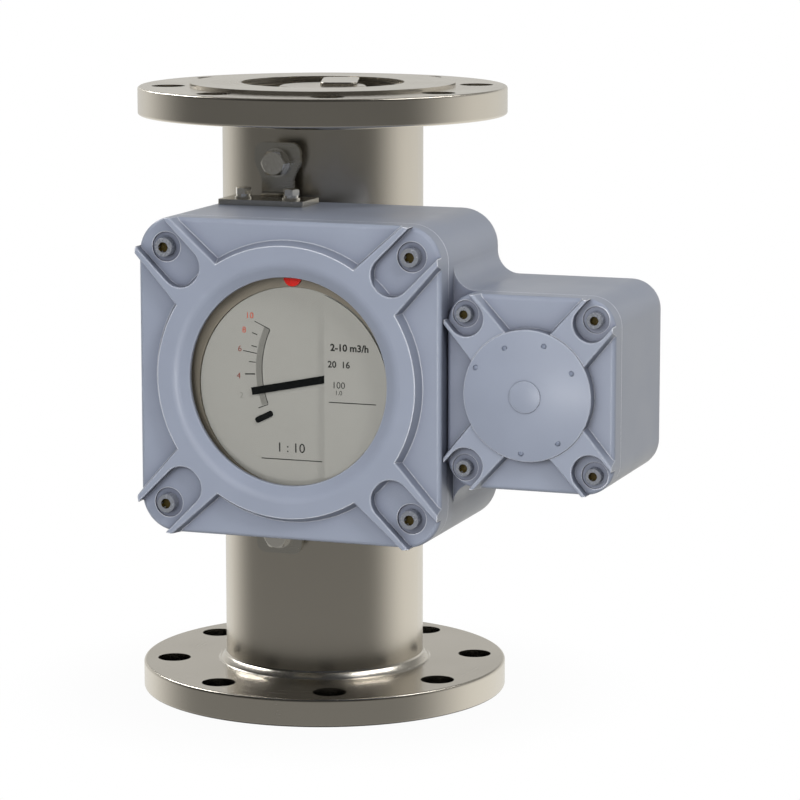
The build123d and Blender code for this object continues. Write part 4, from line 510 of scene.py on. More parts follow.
# Turned brass is warm yellow.
BRASS = WorkedMetal("turned_brass", "#C3A25C", 0.28)
# Nickel plating is bright, with a warm tinge.
NICKEL = WorkedMetal("nickel_plated_brass", "#BDB8AC", 0.22)
# Ground steel is nearly a mirror.
SHAFT_STEEL = WorkedMetal("ground_shaft_steel", "#CFCDC8", 0.15)


def wear(finish: Finish, *nodes: str) -> None:
    """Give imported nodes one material.

    Args:
        finish: The finish that makes it.
        nodes: The nodes' names.
    """
    made = finish.material()
    for node in nodes:
        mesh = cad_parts[node].data
        mesh.materials.clear()
        mesh.materials.append(made)
        log.info("%s wears %s", node, made.name)


def middle(node: str) -> Vector:
    """Return the middle of a node's box."""
    low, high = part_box(node)
    return (low + high) / 2


def facing_front(x: float, y: float, z: float) -> Matrix:
    """Return the place of a flat shape that faces -Y, its own X to the right and its own Y up."""
    return Matrix.Translation((x, y, z)) @ Matrix.Rotation(math.radians(90), 4, "X")


def deselect() -> None:
    """Leave edit mode and select nothing."""
    if bpy.context.mode != "OBJECT":
        bpy.ops.object.mode_set(mode="OBJECT")
    bpy.ops.object.select_all(action="DESELECT")


def apply_modifier(kind: str, **settings: object) -> None:
    """Add a modifier to the active object and apply it.

    Args:
        kind: The modifier's type.
        settings: Its properties.
    """
    piece = bpy.context.object
    modifier = piece.modifiers.new(kind.title(), kind)
    for name, value in settings.items():
        setattr(modifier, name, value)
    bpy.ops.object.modifier_apply(modifier=modifier.name)


def close_seams(distance: float = MERGE_DISTANCE) -> None:
    """In edit mode, merge the doubles that a spin or a screw leaves, point the faces outwards and go back.

    Args:
        distance: How near two vertices are when they merge.
    """
    bpy.ops.mesh.select_all(action="SELECT")
    bpy.ops.mesh.remove_doubles(threshold=distance)
    bpy.ops.mesh.normals_make_consistent(inside=False)
    bpy.ops.object.mode_set(mode="OBJECT")


def placed(place: Matrix) -> None:
    """Put the active object at a place and keep the place in its mesh.

    Args:
        place: The place.
    """
    piece = bpy.context.object
    piece.matrix_world = place
    bpy.ops.object.select_all(action="DESELECT")
    piece.select_set(True)
    bpy.ops.object.transform_apply(location=True, rotation=True, scale=True)


def joined(parts: list[bpy.types.Object]) -> None:
    """Join meshes into one, which becomes the active object.

    Args:
        parts: The meshes.
    """
    deselect()
    for part in parts:
        part.select_set(True)
    bpy.context.view_layer.objects.active = parts[0]
    if len(parts) > 1:
        bpy.ops.object.join()


def settle(name: str, body: str, finish: Finish) -> None:
    """Finish the active object: its place goes into its mesh, and it rides on its body.

    Args:
        name: The piece's name.
        body: The body that carries it.
        finish: What makes its material.
    """
    piece = bpy.context.object
    bpy.ops.object.transform_apply(location=True, rotation=True, scale=True)
    piece.name = piece.data.name = name
    piece.data.materials.clear()
    piece.data.materials.append(finish.material())
    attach(piece, body)
    log.info("%s: %d faces", name, len(piece.data.polygons))


def bar(start: Vector, end: Vector, width: float, height: float, place: Matrix) -> bpy.types.Object:
    """Lay a straight printed line on a flat face.

    Args:
        start: One end, in the face's own X and Y.
        end: The other end.
        width: The line's width.
        height: How far the ink stands up.
        place: The face.

    Returns:
        The line, as a mesh at its place.
    """
    deselect()
    along = end - start
    bpy.ops.mesh.primitive_cube_add(size=1)
    line = bpy.context.object
    line.scale = (along.length, width, height)
    bpy.ops.object.transform_apply(location=True, rotation=True, scale=True)
    halfway = (start + end) / 2
    turn = Matrix.Rotation(math.atan2(along.y, along.x), 4, "Z")
    placed(place @ Matrix.Translation((halfway.x, halfway.y, height / 2)) @ turn)
    return line


def arc(radii: Span, angles: Span, height: float, place: Matrix) -> bpy.types.Object:
    """Lay a printed arc on a flat face.

    Args:
        radii: Its inner and outer radius about the face's origin.
        angles: Where it starts and ends, in degrees from the face's own X.
        height: How far the ink stands up.
        place: The face.

    Returns:
        The arc, as a mesh at its place.
    """
    deselect()
    low, high = radii
    bpy.ops.mesh.primitive_plane_add(size=1, rotation=(math.radians(90), 0, 0))
    strip = bpy.context.object
    bpy.ops.object.transform_apply(rotation=True)
    strip.scale = (high - low, 1, height)
    strip.location = ((low + high) / 2, 0, height / 2)
    bpy.ops.object.transform_apply(location=True, scale=True)
    strip.rotation_euler.z = math.radians(angles[0])
    bpy.ops.object.transform_apply(rotation=True)
    bpy.ops.object.mode_set(mode="EDIT")
    bpy.ops.mesh.select_all(action="SELECT")
    span = math.radians(angles[1] - angles[0])
    steps = max(ARC_LEAST_STEPS, int(abs(span) * ARC_STEPS_PER_RADIAN))
    bpy.ops.mesh.spin(steps=steps, angle=span, center=(0, 0, 0), axis=(0, 0, -1))
    close_seams()
    placed(place)
    return strip


def words(text: str, size: float, height: float, place: Matrix, bold: float = 0.0) -> bpy.types.Object:
    """Print a short text with its middle at a place.

    Args:
        text: What it says.
        size: The height of its type.
        height: How far the ink stands up.
        place: The face, with its origin at the text's middle.
        bold: How much its strokes are thickened, as a share of its size.

    Returns:
        The text, as a mesh at its place.
    """
    deselect()
    bpy.ops.object.text_add()
    line = bpy.context.object
    line.data.body = text
    line.data.size = size
    line.data.align_x = "CENTER"
    line.data.align_y = "CENTER"
    line.data.extrude = height / 2
    line.data.offset = bold * size
    line.data.resolution_u = LETTER_STEPS
    bpy.ops.object.convert(target="MESH")
    placed(place @ Matrix.Translation((0, 0, height / 2)))
    return bpy.context.object


@dataclass
class FlowTube:
    """The measuring tube with its flanges, guides, welds and float.

    A weld bead is a ring of ripples, and each ripple reaches ripple_overlap pitches to either side.
    """

    bead_middle: float = 1.75 * MM
    bead_half_width: float = 2.9 * MM
    bead_swell: float = 0.5 * MM
    bead_tilt_deg: float = 45.0
    bead_ripples: int = 190
    bead_merge: float = 1e-6
    ripple_faces: tuple[int, int] = (12, 8)
    ripple_overlap: float = 2.4
    ripple_lean_deg: float = 24.0
    # Drawn pipe, satin brushed along its length: long, even highlights.
    tube_steel: WorkedMetal = WorkedMetal(
        "satin_stainless_tube", "#C6C0B5", 0.25, Grain.DRAWN, grain_mm=0.7, depth_mm=0.0008, tone=0.02,
        unevenness=0.02,
    )
    # Turned forging: faint rings about the axis, and painted shade in the bolt holes and other deep hollows.
    flange_steel: WorkedMetal = WorkedMetal(
        "turned_stainless_flange", "#C9C3B8", 0.25, Grain.TURNED, grain_mm=0.6, depth_mm=0.0012, tone=0.02,
        unevenness=0.03, cavity_mm=24.0,
    )
    # Wire-brushed weld: bright ripples with a fine grain.
    weld_steel: WorkedMetal = WorkedMetal(
        "brushed_stainless_weld", "#C6C1B7", 0.22, grain_mm=1.6, depth_mm=0.003, tone=0.05
    )
    # Turned and polished: brighter than the tube, with fine rings.
    float_steel: WorkedMetal = WorkedMetal(
        "polished_stainless_float", "#CFCAC0", 0.18, Grain.TURNED, grain_mm=0.8, depth_mm=0.004
    )

    def dress(self) -> None:
        """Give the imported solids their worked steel, and what slides or seals its plastic and rubber."""
        wear(self.flange_steel, "lower_flange", "upper_flange", "tube_bosses", "stop_collars")
        wear(self.tube_steel, "measuring_tube", "metering_cone", "lower_guide", "upper_guide", "snap_rings")
        wear(self.float_steel, "float_body", "float_head", "guide_rod")
        wear(BLACK_RUBBER, "bumpers")
        wear(WHITE_PLASTIC, "float_bushes")
        wear(MAGNET, "float_magnet")
        wear(self.weld_steel, "weld_beads")

    def build_weld_bead(self, name: str, height: float, up: int) -> None:
        """Lay one weld bead as the row of overlapping, leaning ripples that a welder leaves.

        Args:
            name: The piece's name.
            height: The level of the flange's face.
            up: 1 where the bead lies on top of the flange, -1 under it.
        """
        deselect()
        middle_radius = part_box("measuring_tube")[1].x + self.bead_middle
        pitch = math.tau * middle_radius / self.bead_ripples
        segments, rings = self.ripple_faces
        bpy.ops.mesh.primitive_uv_sphere_add(segments=segments, ring_count=rings, radius=1)
        bead = bpy.context.object
        bead.scale = (self.bead_half_width, self.ripple_overlap * pitch, self.bead_swell)
        bead.rotation_euler.z = math.radians(self.ripple_lean_deg)
        bpy.ops.object.transform_apply(rotation=True, scale=True)
        bead.rotation_euler.y = up * math.radians(self.bead_tilt_deg)
        bead.location = (middle_radius, 0, height + up * self.bead_middle)
        bpy.ops.object.transform_apply(location=True, rotation=True)
        bpy.ops.object.mode_set(mode="EDIT")
        bpy.ops.mesh.select_all(action="SELECT")
        bpy.ops.mesh.spin(
            steps=self.bead_ripples, dupli=True, angle=math.tau, center=(0, 0, 0), axis=(0, 0, 1)
        )
        close_seams(self.bead_merge)
        bpy.ops.object.shade_smooth()
        settle(name, "meter", self.weld_steel)

    def build(self) -> None:
        """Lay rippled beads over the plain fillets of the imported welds, where the flanges meet the tube."""
        self.build_weld_bead("lower_weld_ripples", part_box("lower_flange")[1].z, 1)
        self.build_weld_bead("upper_weld_ripples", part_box("upper_flange")[0].z, -1)


@dataclass
class Brackets:
    """The two bent brackets that hang the housing on the tube, with their fasteners."""

    # Cold-rolled sheet: a soft, even shine with faint lines along it.
    sheet: WorkedMetal = WorkedMetal(
        "rolled_stainless_sheet", "#BDBAB2", 0.26, Grain.ROLLED, grain_mm=0.8, depth_mm=0.0005, tone=0.02,
        unevenness=0.03,
    )
    # Cold-formed and pickled: bright faces with a slight grain.
    fastener: WorkedMetal = WorkedMetal("cold_formed_fastener", "#E2DFD8", 0.2, depth_mm=0.004)

    def dress(self) -> None:
        """Give the brackets rolled sheet and the fasteners bright steel."""
        wear(self.sheet, "upper_bracket", "lower_bracket")
        wear(
            self.fastener, "bracket_bolts", "bolt_washers", "plate_screws", "plate_washers",
            "spring_washers", "set_screws", "clamp_ring_screws", "frame_screws", "carrier_screws",
            "block_screws",
        )


@dataclass
class Housing:
    """The cast housing, its two covers and what closes them.

    The pips' places are in millimetres to the right of and above the dome's middle, and a socket's size is
    half its width over the corners.
    """

    # Satin paint: soft broad highlights, a painted highlight on the edges and painted shade in the inner
    # corners.
    paint: PowderCoat = PowderCoat("blue_grey_powder_coat", "#8F96A6", 0.37)
    # The pad gets a weaker painted edge highlight than the covers, and the pips none, so they stand out less.
    pad_paint: PowderCoat = PowderCoat("blue_grey_powder_coat_pad", "#8F96A6", 0.37, edge_colour="#B0B6C4")
    pip_paint: PowderCoat = PowderCoat("blue_grey_powder_coat_pips", "#767E90", 0.42, edge_colour="#767E90")
    # Clear and flat: the dial is read through it, under a faint mirror of the room.
    glass: FlatGlass = FlatGlass("float_glass", "#5D6361", 0.03)
    screw_colour: str = "#979BA4"
    screw_roughness: float = 0.26
    main_head_radius: float = 5.0 * MM
    main_socket_mm: float = 2.7
    terminal_head_radius: float = 4.25 * MM
    terminal_socket_mm: float = 2.3
    dome_reach: float = 34.5 * MM
    dome_rise: float = 3.5 * MM
    pip_places: tuple[Span, ...] = (
        (-11.6, 24.4), (9.4, 26.4), (-27.3, 13.6), (24.2, 13.1), (17.2, -23.5), (-2.6, -29.9),
    )
    pip_radius: float = 1.5 * MM
    pip_height: float = 0.22 * MM
    pip_faces: tuple[int, int] = (20, 10)
    pad_radius: float = 8.5 * MM
    pad_height: float = 0.3 * MM
    pad_edge: float = 0.25 * MM
    pad_edge_steps: int = 3
    pad_sides: int = 96
    pad_crease_deg: float = 30.0
    entry_radius: float = 9.25 * MM
    entry_length: float = 12.5 * MM
    thread_pitch: float = 1.5 * MM
    thread_depth: float = 0.35 * MM
    thread_steps: int = 40
    crest_reach_pitches: float = 0.52
    crest_sink_pitches: float = 0.25

    def screw_finish(self, node: str, head_radius: float, socket_mm: float) -> SocketHead:
        """Work out the socket places of a cover's four screws from their box.

        Args:
            node: The node that holds the four screws.
            head_radius: The radius of a screw's head.
            socket_mm: Half the socket's width over its corners.

        Returns:
            The finish for these screws.
        """
        low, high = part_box(node)
        centre = middle(node)
        corner = high - centre
        return SocketHead(
            f"{node}_steel", self.screw_colour, self.screw_roughness, centre=(centre.x, low.y, centre.z),
            corner=(corner.x - head_radius, 0.0, corner.z - head_radius), socket_mm=socket_mm,
        )

    def dress(self) -> None:
        """Paint the castings and give the seals, screws and fittings their own material."""
        wear(self.paint, "housing_body", "main_cover", "terminal_cover")
        for node, head_radius, socket_mm in (
            ("main_cover_screws", self.main_head_radius, self.main_socket_mm),
            ("terminal_cover_screws", self.terminal_head_radius, self.terminal_socket_mm),
        ):
            wear(self.screw_finish(node, head_radius, socket_mm), node)
        wear(BLACK_RUBBER, "main_seal", "terminal_seal", "glass_seal", "cable_grommet", "plug_seal")
        wear(self.glass, "window_glass")
        wear(NICKEL, "blanking_plug")
        wear(TERMINAL_PLASTIC, "terminal_block")
        wear(BRASS, "terminal_clamps")

    def build_cover_pips(self) -> None:
        """Add the six low pips that the die's ejector pins leave on the terminal cover's dome."""
        crown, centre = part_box("terminal_cover")[0].y, middle("terminal_cover")
        dome_radius = (self.dome_reach ** 2 + self.dome_rise ** 2) / (2 * self.dome_rise)
        segments, rings = self.pip_faces
        pips = []
        for x, z in self.pip_places:
            deselect()
            bpy.ops.mesh.primitive_uv_sphere_add(segments=segments, ring_count=rings, radius=1)
            pip = bpy.context.object
            pip.scale = (self.pip_radius, self.pip_height, self.pip_radius)
            off_centre = math.hypot(x, z) * MM
            fall = dome_radius - math.sqrt(dome_radius ** 2 - off_centre ** 2)
            pip.location = (centre.x + x * MM, crown + fall, centre.z + z * MM)
            bpy.ops.object.transform_apply(location=True, scale=True)
            bpy.ops.object.shade_smooth()
            pips.append(pip)
        joined(pips)
        settle("terminal_cover_pips", "meter", self.pip_paint)

    def build_cover_pad(self) -> None:
        """Add the plain round pad at the middle of the terminal cover's dome."""
        crown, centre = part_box("terminal_cover")[0].y, middle("terminal_cover")
        deselect()
        bpy.ops.mesh.primitive_cylinder_add(
            vertices=self.pad_sides, radius=self.pad_radius, depth=2 * self.pad_height,
            location=(centre.x, crown, centre.z), rotation=(math.radians(90), 0, 0),
        )
        apply_modifier("BEVEL", width=self.pad_edge, segments=self.pad_edge_steps, limit_method="ANGLE")
        bpy.ops.object.shade_smooth_by_angle(angle=math.radians(self.pad_crease_deg))
        settle("terminal_cover_pad", "meter", self.pad_paint)

    def build_entry_thread(self) -> None:
        """Cut the look of a metric thread into the open cable entry: a fine helical crest up the bore.

        The open entry stands as far right of the cover's middle as the plugged one stands left of it, and
        the compartment's underside is level with the cover's lower edge.
        """
        cover, plug = middle("terminal_cover"), middle("blanking_plug")
        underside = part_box("terminal_cover")[0].z
        deselect()
        bpy.ops.mesh.primitive_circle_add(
            vertices=3, radius=self.thread_pitch * self.crest_reach_pitches,
            rotation=(math.radians(90), 0, math.radians(180)),
        )
        crest = bpy.context.object
        crest.rotation_euler = (math.radians(90), math.radians(90), 0)
        bpy.ops.object.transform_apply(rotation=True)
        sink = self.crest_sink_pitches * self.thread_pitch
        crest.location.x = self.entry_radius + sink - self.thread_depth
        bpy.ops.object.transform_apply(location=True)
        turns = int(self.entry_length / self.thread_pitch) - 1
        apply_modifier(
            "SCREW", axis="Z", screw_offset=self.thread_pitch, iterations=turns, steps=self.thread_steps
        )
        bpy.ops.object.mode_set(mode="EDIT")
        close_seams()
        crest.location = (2 * cover.x - plug.x, plug.y, underside + self.thread_pitch)
        settle("entry_thread", "meter", self.paint)

    def build(self) -> None:
        """Add the pips and the pad on the dome and the thread in the open cable entry."""
        self.build_cover_pips()
        self.build_cover_pad()
        self.build_entry_thread()


@dataclass
class Movement:
    """The plates, shaft, magnets and brake behind the dial."""

    def dress(self) -> None:
        """Give the movement its plain metals."""
        wear(
            ALUMINIUM, "front_plate", "rear_plate", "follower_arm", "brake_disc", "clamp_ring", "brake_yoke"
        )
        wear(BRASS, "frame_pillars", "shaft_bushes", "counterweight")
        wear(MAGNET, "follower_magnet", "brake_magnets")
        wear(SHAFT_STEEL, "pointer_shaft")


class NumeralInk(Enum):
    """The colours that the scale's numerals are printed in."""

    RED = "red"
    BROWN = "brown"
    GREY = "grey"


@dataclass(frozen=True)
class Numeral:
    """A numeral beside the scale: its text, its angle and its ink."""

    text: str
    angle: float
    ink: NumeralInk


@dataclass(frozen=True)
class Tick:
    """A line across the scale: its angle, the radii of its two ends, and its width."""

    angle: float
    start: float
    end: float
    width: float = 0.45


@dataclass(frozen=True)
class Row:
    """A row of print: its text, the place of its middle, the height of its type and how bold it is."""

    text: str
    x: float
    z: float
    size: float
    bold: float = 0.0


@dataclass(frozen=True)
class Underline:
    """A line under the rows of a plate: where it starts and ends, and its level."""

    start: float
    end: float
    level: float
    width: float = 0.5


@dataclass
class Dial:
    """The dial, its raised side plate, the pointer and the print.

    Angles on the scale are in degrees above the line that runs left from the pointer's pivot, radii are in
    millimetres from the pivot, and places are in millimetres to the right of and above the window's middle.
    """

    ink: float = 0.05 * MM
    band_radii: Span = (52.1, 55.4)
    band_line: float = 0.4
    band_angles: Span = (-20.5, 24.5)
    numeral_radius: float = 65.4
    numeral_size: float = 4.6
    numerals: tuple[Numeral, ...] = (
        Numeral("10", 25.9, NumeralInk.RED), Numeral("8", 18.5, NumeralInk.RED),
        Numeral("6", 9.3, NumeralInk.BROWN), Numeral("4", -3.6, NumeralInk.BROWN),
        Numeral("2", -12.9, NumeralInk.GREY),
    )
    ticks: tuple[Tick, ...] = (
        Tick(24.7, 52.0, 61.6, 0.4), Tick(18.8, 57.6, 60.8), Tick(12.3, 56.0, 59.2), Tick(8.8, 55.5, 63.4),
        Tick(3.8, 55.6, 59.5), Tick(-2.65, 56.0, 61.7, 0.7), Tick(-21.0, 52.0, 58.0),
    )
    side_rows: tuple[Row, ...] = (
        Row("2-10 m3/h", 32.2, 18.4, 5.2, 0.03), Row("20  16", 26.2, 9.4, 4.9, 0.02),
        Row("100", 26.0, -1.6, 5.0), Row("1.0", 26.0, -5.6, 3.4),
    )
    side_line: Underline = Underline(20.5, 47.0, -10.7)
    foot_rows: tuple[Row, ...] = (Row("1 : 10", -2.2, -37.2, 7.2),)
    foot_line: Underline = Underline(-19.0, 15.6, -43.4)
    # Stoved enamel on sheet: smooth and dead even. It is matt, so the glass gives the only gloss.
    enamel: Moulded = Moulded("grey_dial_enamel", "#9F9E98", 0.5, skin_mm=0.5, depth_mm=0.0006, tone=0.012)
    # Moulded in a dull, warm grey, so it falls back behind the dial.
    carrier_plastic: Moulded = Moulded("taupe_carrier_plastic", "#7A7366", 0.5, depth_mm=0.004)
    # Glossy and strongly coloured, to catch the eye.
    latch_plastic: Moulded = Moulded("red_latch_plastic", "#D2190E", 0.3, depth_mm=0.003)
    # Flat black, so that no light from the window hides the reading.
    pointer_paint: Moulded = Moulded(
        "black_pointer_paint", "#040405", 0.7, depth_mm=0.002, tone=0.15, gloss=0.12
    )
    # Matt inks, which stay readable under the glass.
    black_ink: Ink = Ink("black_print", "#1D1C1A", 0.5)
    grey_ink: Ink = Ink("grey_print", "#8B8A84", 0.5)
    red_ink: Ink = Ink("red_print", "#D8502E", 0.45)
    brown_ink: Ink = Ink("brown_print", "#8A3A30", 0.45)

    def dress(self) -> None:
        """Give the dial's solids their enamel, plastic and paint."""
        wear(self.enamel, "dial", "side_plate")
        wear(self.carrier_plastic, "dial_carrier")
        wear(self.latch_plastic, "dial_screw")
        wear(self.pointer_paint, "pointer", "limit_mark")

    def scale_place(self) -> Matrix:
        """Return the dial's face with its origin at the pointer's pivot."""
        pivot = middle("pointer_shaft")
        return facing_front(pivot.x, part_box("dial")[0].y, pivot.z)

    def window_place(self, x: float, z: float, plate: str) -> Matrix:
        """Return a flat place on a plate, at millimetres from the window's middle."""
        window = middle("main_cover")
        return facing_front(window.x + x * MM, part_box(plate)[0].y, window.z + z * MM)

    def build_band(self) -> None:
        """Print the scale's shaded band, with the lines along and across it."""
        place = self.scale_place()
        low, high = (180 - angle for angle in reversed(self.band_angles))
        inner, outer = self.band_radii
        arc((inner * MM, outer * MM), (low, high), self.ink / 2, place)
        settle("scale_band", "meter", self.grey_ink)
        lines = [arc(((inner - self.band_line) * MM, inner * MM), (low, high), self.ink, place)]
        for tick in self.ticks:
            angle = math.radians(tick.angle)
            way = Vector((-math.cos(angle), math.sin(angle), 0))
            lines.append(bar(way * tick.start * MM, way * tick.end * MM, tick.width * MM, self.ink, place))
        joined(lines)
        settle("scale_lines", "meter", self.black_ink)

    def build_numerals(self) -> None:
        """Print the scale's numerals, each colour as one piece."""
        inks = {
            NumeralInk.RED: (self.red_ink, "red_plastic"),
            NumeralInk.BROWN: (self.brown_ink, "red_plastic"),
            NumeralInk.GREY: (self.grey_ink, "dial_grey"),
        }
        for colour, (ink, slot) in inks.items():
            printed = []
            for numeral in self.numerals:
                if numeral.ink is colour:
                    angle = math.radians(numeral.angle)
                    way = Vector((-math.cos(angle), math.sin(angle), 0))
                    spot = self.scale_place() @ Matrix.Translation(way * self.numeral_radius * MM)
                    printed.append(words(numeral.text, self.numeral_size * MM, self.ink, spot))
            joined(printed)
            settle(f"scale_numerals_{colour.value}", "meter", ink)

    def build_rows(self) -> None:
        """Print the rows on the side plate and at the dial's foot, with the line under each block."""
        printed = []
        for plate, rows, line in (
            ("side_plate", self.side_rows, self.side_line), ("dial", self.foot_rows, self.foot_line),
        ):
            for row in rows:
                place = self.window_place(row.x, row.z, plate)
                printed.append(words(row.text, row.size * MM, self.ink, place, row.bold))
            start, end = (Vector((x * MM, 0, 0)) for x in (line.start, line.end))
            place = self.window_place(0, line.level, plate)
            printed.append(bar(start, end, line.width * MM, self.ink, place))
        joined(printed)
        settle("dial_rows", "meter", self.black_ink)

    def build(self) -> None:
        """Print the dial."""
        self.build_band()
        self.build_numerals()
        self.build_rows()


@dataclass(frozen=True)
class Lamp:
    """A rectangular soft light that faces the meter.

    Places and sizes are in metres and the power is in watts. Bright metal shows a mirrored lamp. A lamp
    that names pieces lights only them.
    """

    name: str
    place: Place
    size: Span
    power: float
    mirrored: bool = True
    turn_deg: float = 0.0
    pieces: tuple[str, ...] = ()

    def hang(self, target: Place) -> None:
        """Add the lamp to the scene.

        Args:
            target: The place that it faces.
        """
        light = bpy.data.lights.new(self.name, "AREA")
        light.shape = "RECTANGLE"
        light.size, light.size_y = self.size
        light.energy = self.power
        lamp = bpy.data.objects.new(self.name, light)
        bpy.context.scene.collection.objects.link(lamp)
        lamp.location = self.place
        facing = (Vector(target) - Vector(self.place)).to_track_quat("-Z", "Y").to_matrix()
        lamp.rotation_euler = (facing @ Matrix.Rotation(math.radians(self.turn_deg), 3, "Z")).to_euler()
        lamp.visible_camera = False
        lamp.visible_glossy = self.mirrored
        if self.pieces:
            lit = bpy.data.collections.new(f"{self.name}_pieces")
            for piece in self.pieces:
                lit.objects.link(bpy.data.objects[piece])
            lamp.light_linking.receiver_collection = lit


PAINTED_PIECES = (
    "housing_body", "main_cover", "terminal_cover", "terminal_cover_pad", "terminal_cover_pips",
    "dial", "side_plate", "dial_carrier", "dial_screw", "limit_mark",
)


@dataclass(frozen=True)
class Fade:
    """A change of the room's light: where it starts and ends, and how bright the room is at either end."""

    reach: Span
    light: Span


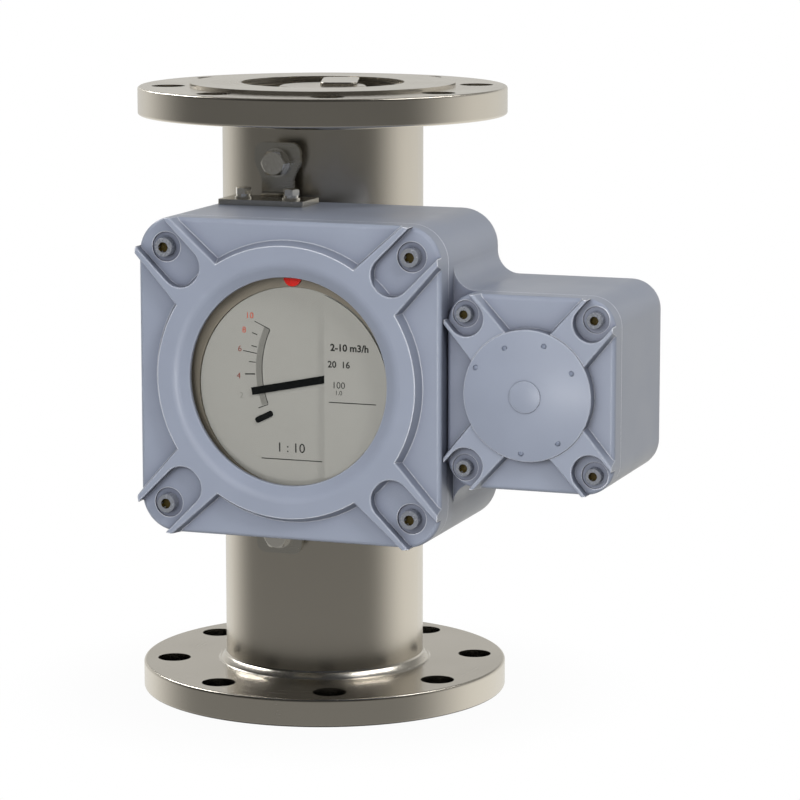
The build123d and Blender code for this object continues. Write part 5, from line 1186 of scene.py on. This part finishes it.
@dataclass
class Studio:
    """The pale floor, the room, the lamps and the camera.

    The meter's shadow on the floor fades to white between the two distances of shadow_reach, in metres.
    """

    floor_size: float = 8.0
    floor_drop: float = 0.4 * MM
    floor_colour: str = "#6E6D6A"
    shadow_reach: Span = (0.1, 0.2)
    shadow_white: float = 0.97
    room_colour: str = "#FBFAF6"
    dim_turn_deg: float = -18.0
    dim_side: Fade = Fade((-0.65, 0.35), (0.95, 0.13))
    backdrop: Fade = Fade((0.7, 0.95), (1.0, 0.88))
    ceiling: Fade = Fade((0.15, 0.5), (1.0, 0.3))
    ground: Fade = Fade((-0.05, -0.3), (0.0, 0.2))
    lamp_target: Place = (0.04, -0.06, 0.19)
    lamps: tuple[Lamp, ...] = (
        Lamp("front_light", (-0.1, -2.5, 0.9), (1.5, 1.2), 42.0, mirrored=False),
        Lamp("key_light", (1.5, -1.0, 1.45), (0.45, 0.45), 14.0, mirrored=False),
        Lamp("back_light", (0.3, 2.4, 0.45), (1.2, 0.8), 20.0, mirrored=False),
        Lamp("low_light", (0.16, -1.25, 0.06), (0.3, 0.1), 2.8, pieces=PAINTED_PIECES),
        Lamp("right_strip", (0.98, 0.55, 1.96), (0.22, 1.2), 10.0, turn_deg=41.5),
        Lamp("left_strip", (-1.34, 0.53, 1.355), (0.22, 1.1), 12.0, turn_deg=-41.8),
    )
    camera_place: Place = (0.69837, -1.83760, 0.49278)
    camera_direction: Place = (-0.32987, 0.92992, -0.16262)
    camera_lens: float = 155.55
    camera_sensor: float = 36.0

    def floor(self) -> None:
        """Lay a white floor that keeps a faint shadow near the meter."""
        deselect()
        bpy.ops.mesh.primitive_plane_add(size=self.floor_size, location=(0, 0, -self.floor_drop))
        floor = bpy.context.object
        bpy.ops.object.transform_apply(location=True)
        floor.name = "floor"
        made = bpy.data.materials.new("white_floor")
        made.use_nodes = True
        tree = made.node_tree
        tree.nodes.clear()
        place = add_node(tree, "ShaderNodeTexCoord").outputs["Object"]
        reach = add_node(tree, "ShaderNodeVectorMath", {0: place}, operation="LENGTH").outputs["Value"]
        inputs = {
            "Value": reach, "From Min": self.shadow_reach[0], "From Max": self.shadow_reach[1],
            "To Min": self.shadow_white, "To Max": 1.0,
        }
        glow = add_node(tree, "ShaderNodeMapRange", inputs, interpolation_type="SMOOTHSTEP")
        seen = add_node(tree, "ShaderNodeLightPath")
        inputs = {0: glow.outputs["Result"], 1: seen.outputs["Is Camera Ray"]}
        share = add_node(tree, "ShaderNodeMath", inputs, operation="MULTIPLY").outputs["Value"]
        matt = add_node(tree, "ShaderNodeBsdfDiffuse", {"Color": linear(self.floor_colour)}).outputs["BSDF"]
        white = add_node(tree, "ShaderNodeEmission", {"Strength": 1.0}).outputs["Emission"]
        mixed = add_node(tree, "ShaderNodeMixShader", {0: share, 1: matt, 2: white}).outputs["Shader"]
        add_node(tree, "ShaderNodeOutputMaterial", {"Surface": mixed})
        floor.data.materials.append(made)
        floor.visible_glossy = False

    def room_light(self, tree: bpy.types.NodeTree) -> bpy.types.NodeSocket:
        """Work out how bright the room is in each direction: bright at the sides, dim behind the camera.

        Args:
            tree: The world's node tree.

        Returns:
            The room's brightness.
        """
        way = add_node(tree, "ShaderNodeTexCoord").outputs["Generated"]
        behind = Vector(self.camera_direction) * Vector((1, 1, 0))
        dim_side = Matrix.Rotation(math.radians(self.dim_turn_deg), 3, "Z") @ -behind
        facing = []
        for direction in (dim_side, behind):
            inputs = {0: way, 1: tuple(direction.normalized())}
            towards = add_node(tree, "ShaderNodeVectorMath", inputs, operation="DOT_PRODUCT")
            facing.append(towards.outputs["Value"])
        height = add_node(tree, "ShaderNodeSeparateXYZ", {"Vector": way}).outputs["Z"]
        levels = []
        for value, fade in (
            (facing[0], self.dim_side), (facing[1], self.backdrop),
            (height, self.ceiling), (height, self.ground),
        ):
            inputs = {
                "Value": value, "From Min": fade.reach[0], "From Max": fade.reach[1],
                "To Min": fade.light[0], "To Max": fade.light[1],
            }
            level = add_node(tree, "ShaderNodeMapRange", inputs, interpolation_type="SMOOTHSTEP")
            levels.append(level.outputs["Result"])
        sides, backdrop, ceiling, ground = levels
        walls = add_node(tree, "ShaderNodeMath", {0: sides, 1: backdrop}, operation="MULTIPLY")
        inputs = {0: walls.outputs["Value"], 1: ceiling, 2: ground}
        return add_node(tree, "ShaderNodeMath", inputs, operation="MULTIPLY_ADD").outputs["Value"]

    def surroundings(self) -> None:
        """Set a white background for the camera and the glass, and the room for everything else."""
        world = bpy.data.worlds.new("studio")
        world.use_nodes = True
        bpy.context.scene.world = world
        tree = world.node_tree
        tree.nodes.clear()
        inputs = {"Color": linear(self.room_colour), "Strength": self.room_light(tree)}
        room = add_node(tree, "ShaderNodeBackground", inputs).outputs["Background"]
        inputs = {"Color": (1, 1, 1, 1), "Strength": 1.0}
        white = add_node(tree, "ShaderNodeBackground", inputs).outputs["Background"]
        path = add_node(tree, "ShaderNodeLightPath").outputs
        inputs = {0: path["Is Camera Ray"], 1: path["Is Transmission Ray"]}
        seen = add_node(tree, "ShaderNodeMath", inputs, operation="MAXIMUM").outputs["Value"]
        mixed = add_node(tree, "ShaderNodeMixShader", {0: seen, 1: room, 2: white}).outputs["Shader"]
        add_node(tree, "ShaderNodeOutputWorld", {"Surface": mixed})

    def camera(self) -> None:
        """Stand the camera where the photograph was taken from."""
        lens = bpy.data.cameras.new("camera")
        lens.lens = self.camera_lens
        lens.sensor_width = self.camera_sensor
        camera = bpy.data.objects.new("camera", lens)
        bpy.context.scene.collection.objects.link(camera)
        camera.location = self.camera_place
        camera.rotation_euler = Vector(self.camera_direction).to_track_quat("-Z", "Y").to_euler()
        bpy.context.scene.camera = camera

    def build(self) -> None:
        """Set up the floor, the room, the lamps and the camera."""
        self.floor()
        self.surroundings()
        for lamp in self.lamps:
            lamp.hang(self.lamp_target)
        self.camera()
        bpy.context.scene.view_settings.view_transform = "Standard"


def main() -> None:
    """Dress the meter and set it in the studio."""
    logging.basicConfig(level=logging.INFO, format="%(name)s: %(message)s")
    tube, housing, dial = FlowTube(), Housing(), Dial()
    for assembly in (tube, Brackets(), housing, Movement(), dial):
        assembly.dress()
    for assembly in (tube, housing, dial):
        assembly.build()
    Studio().build()


if __name__ == "__main__":
    main()
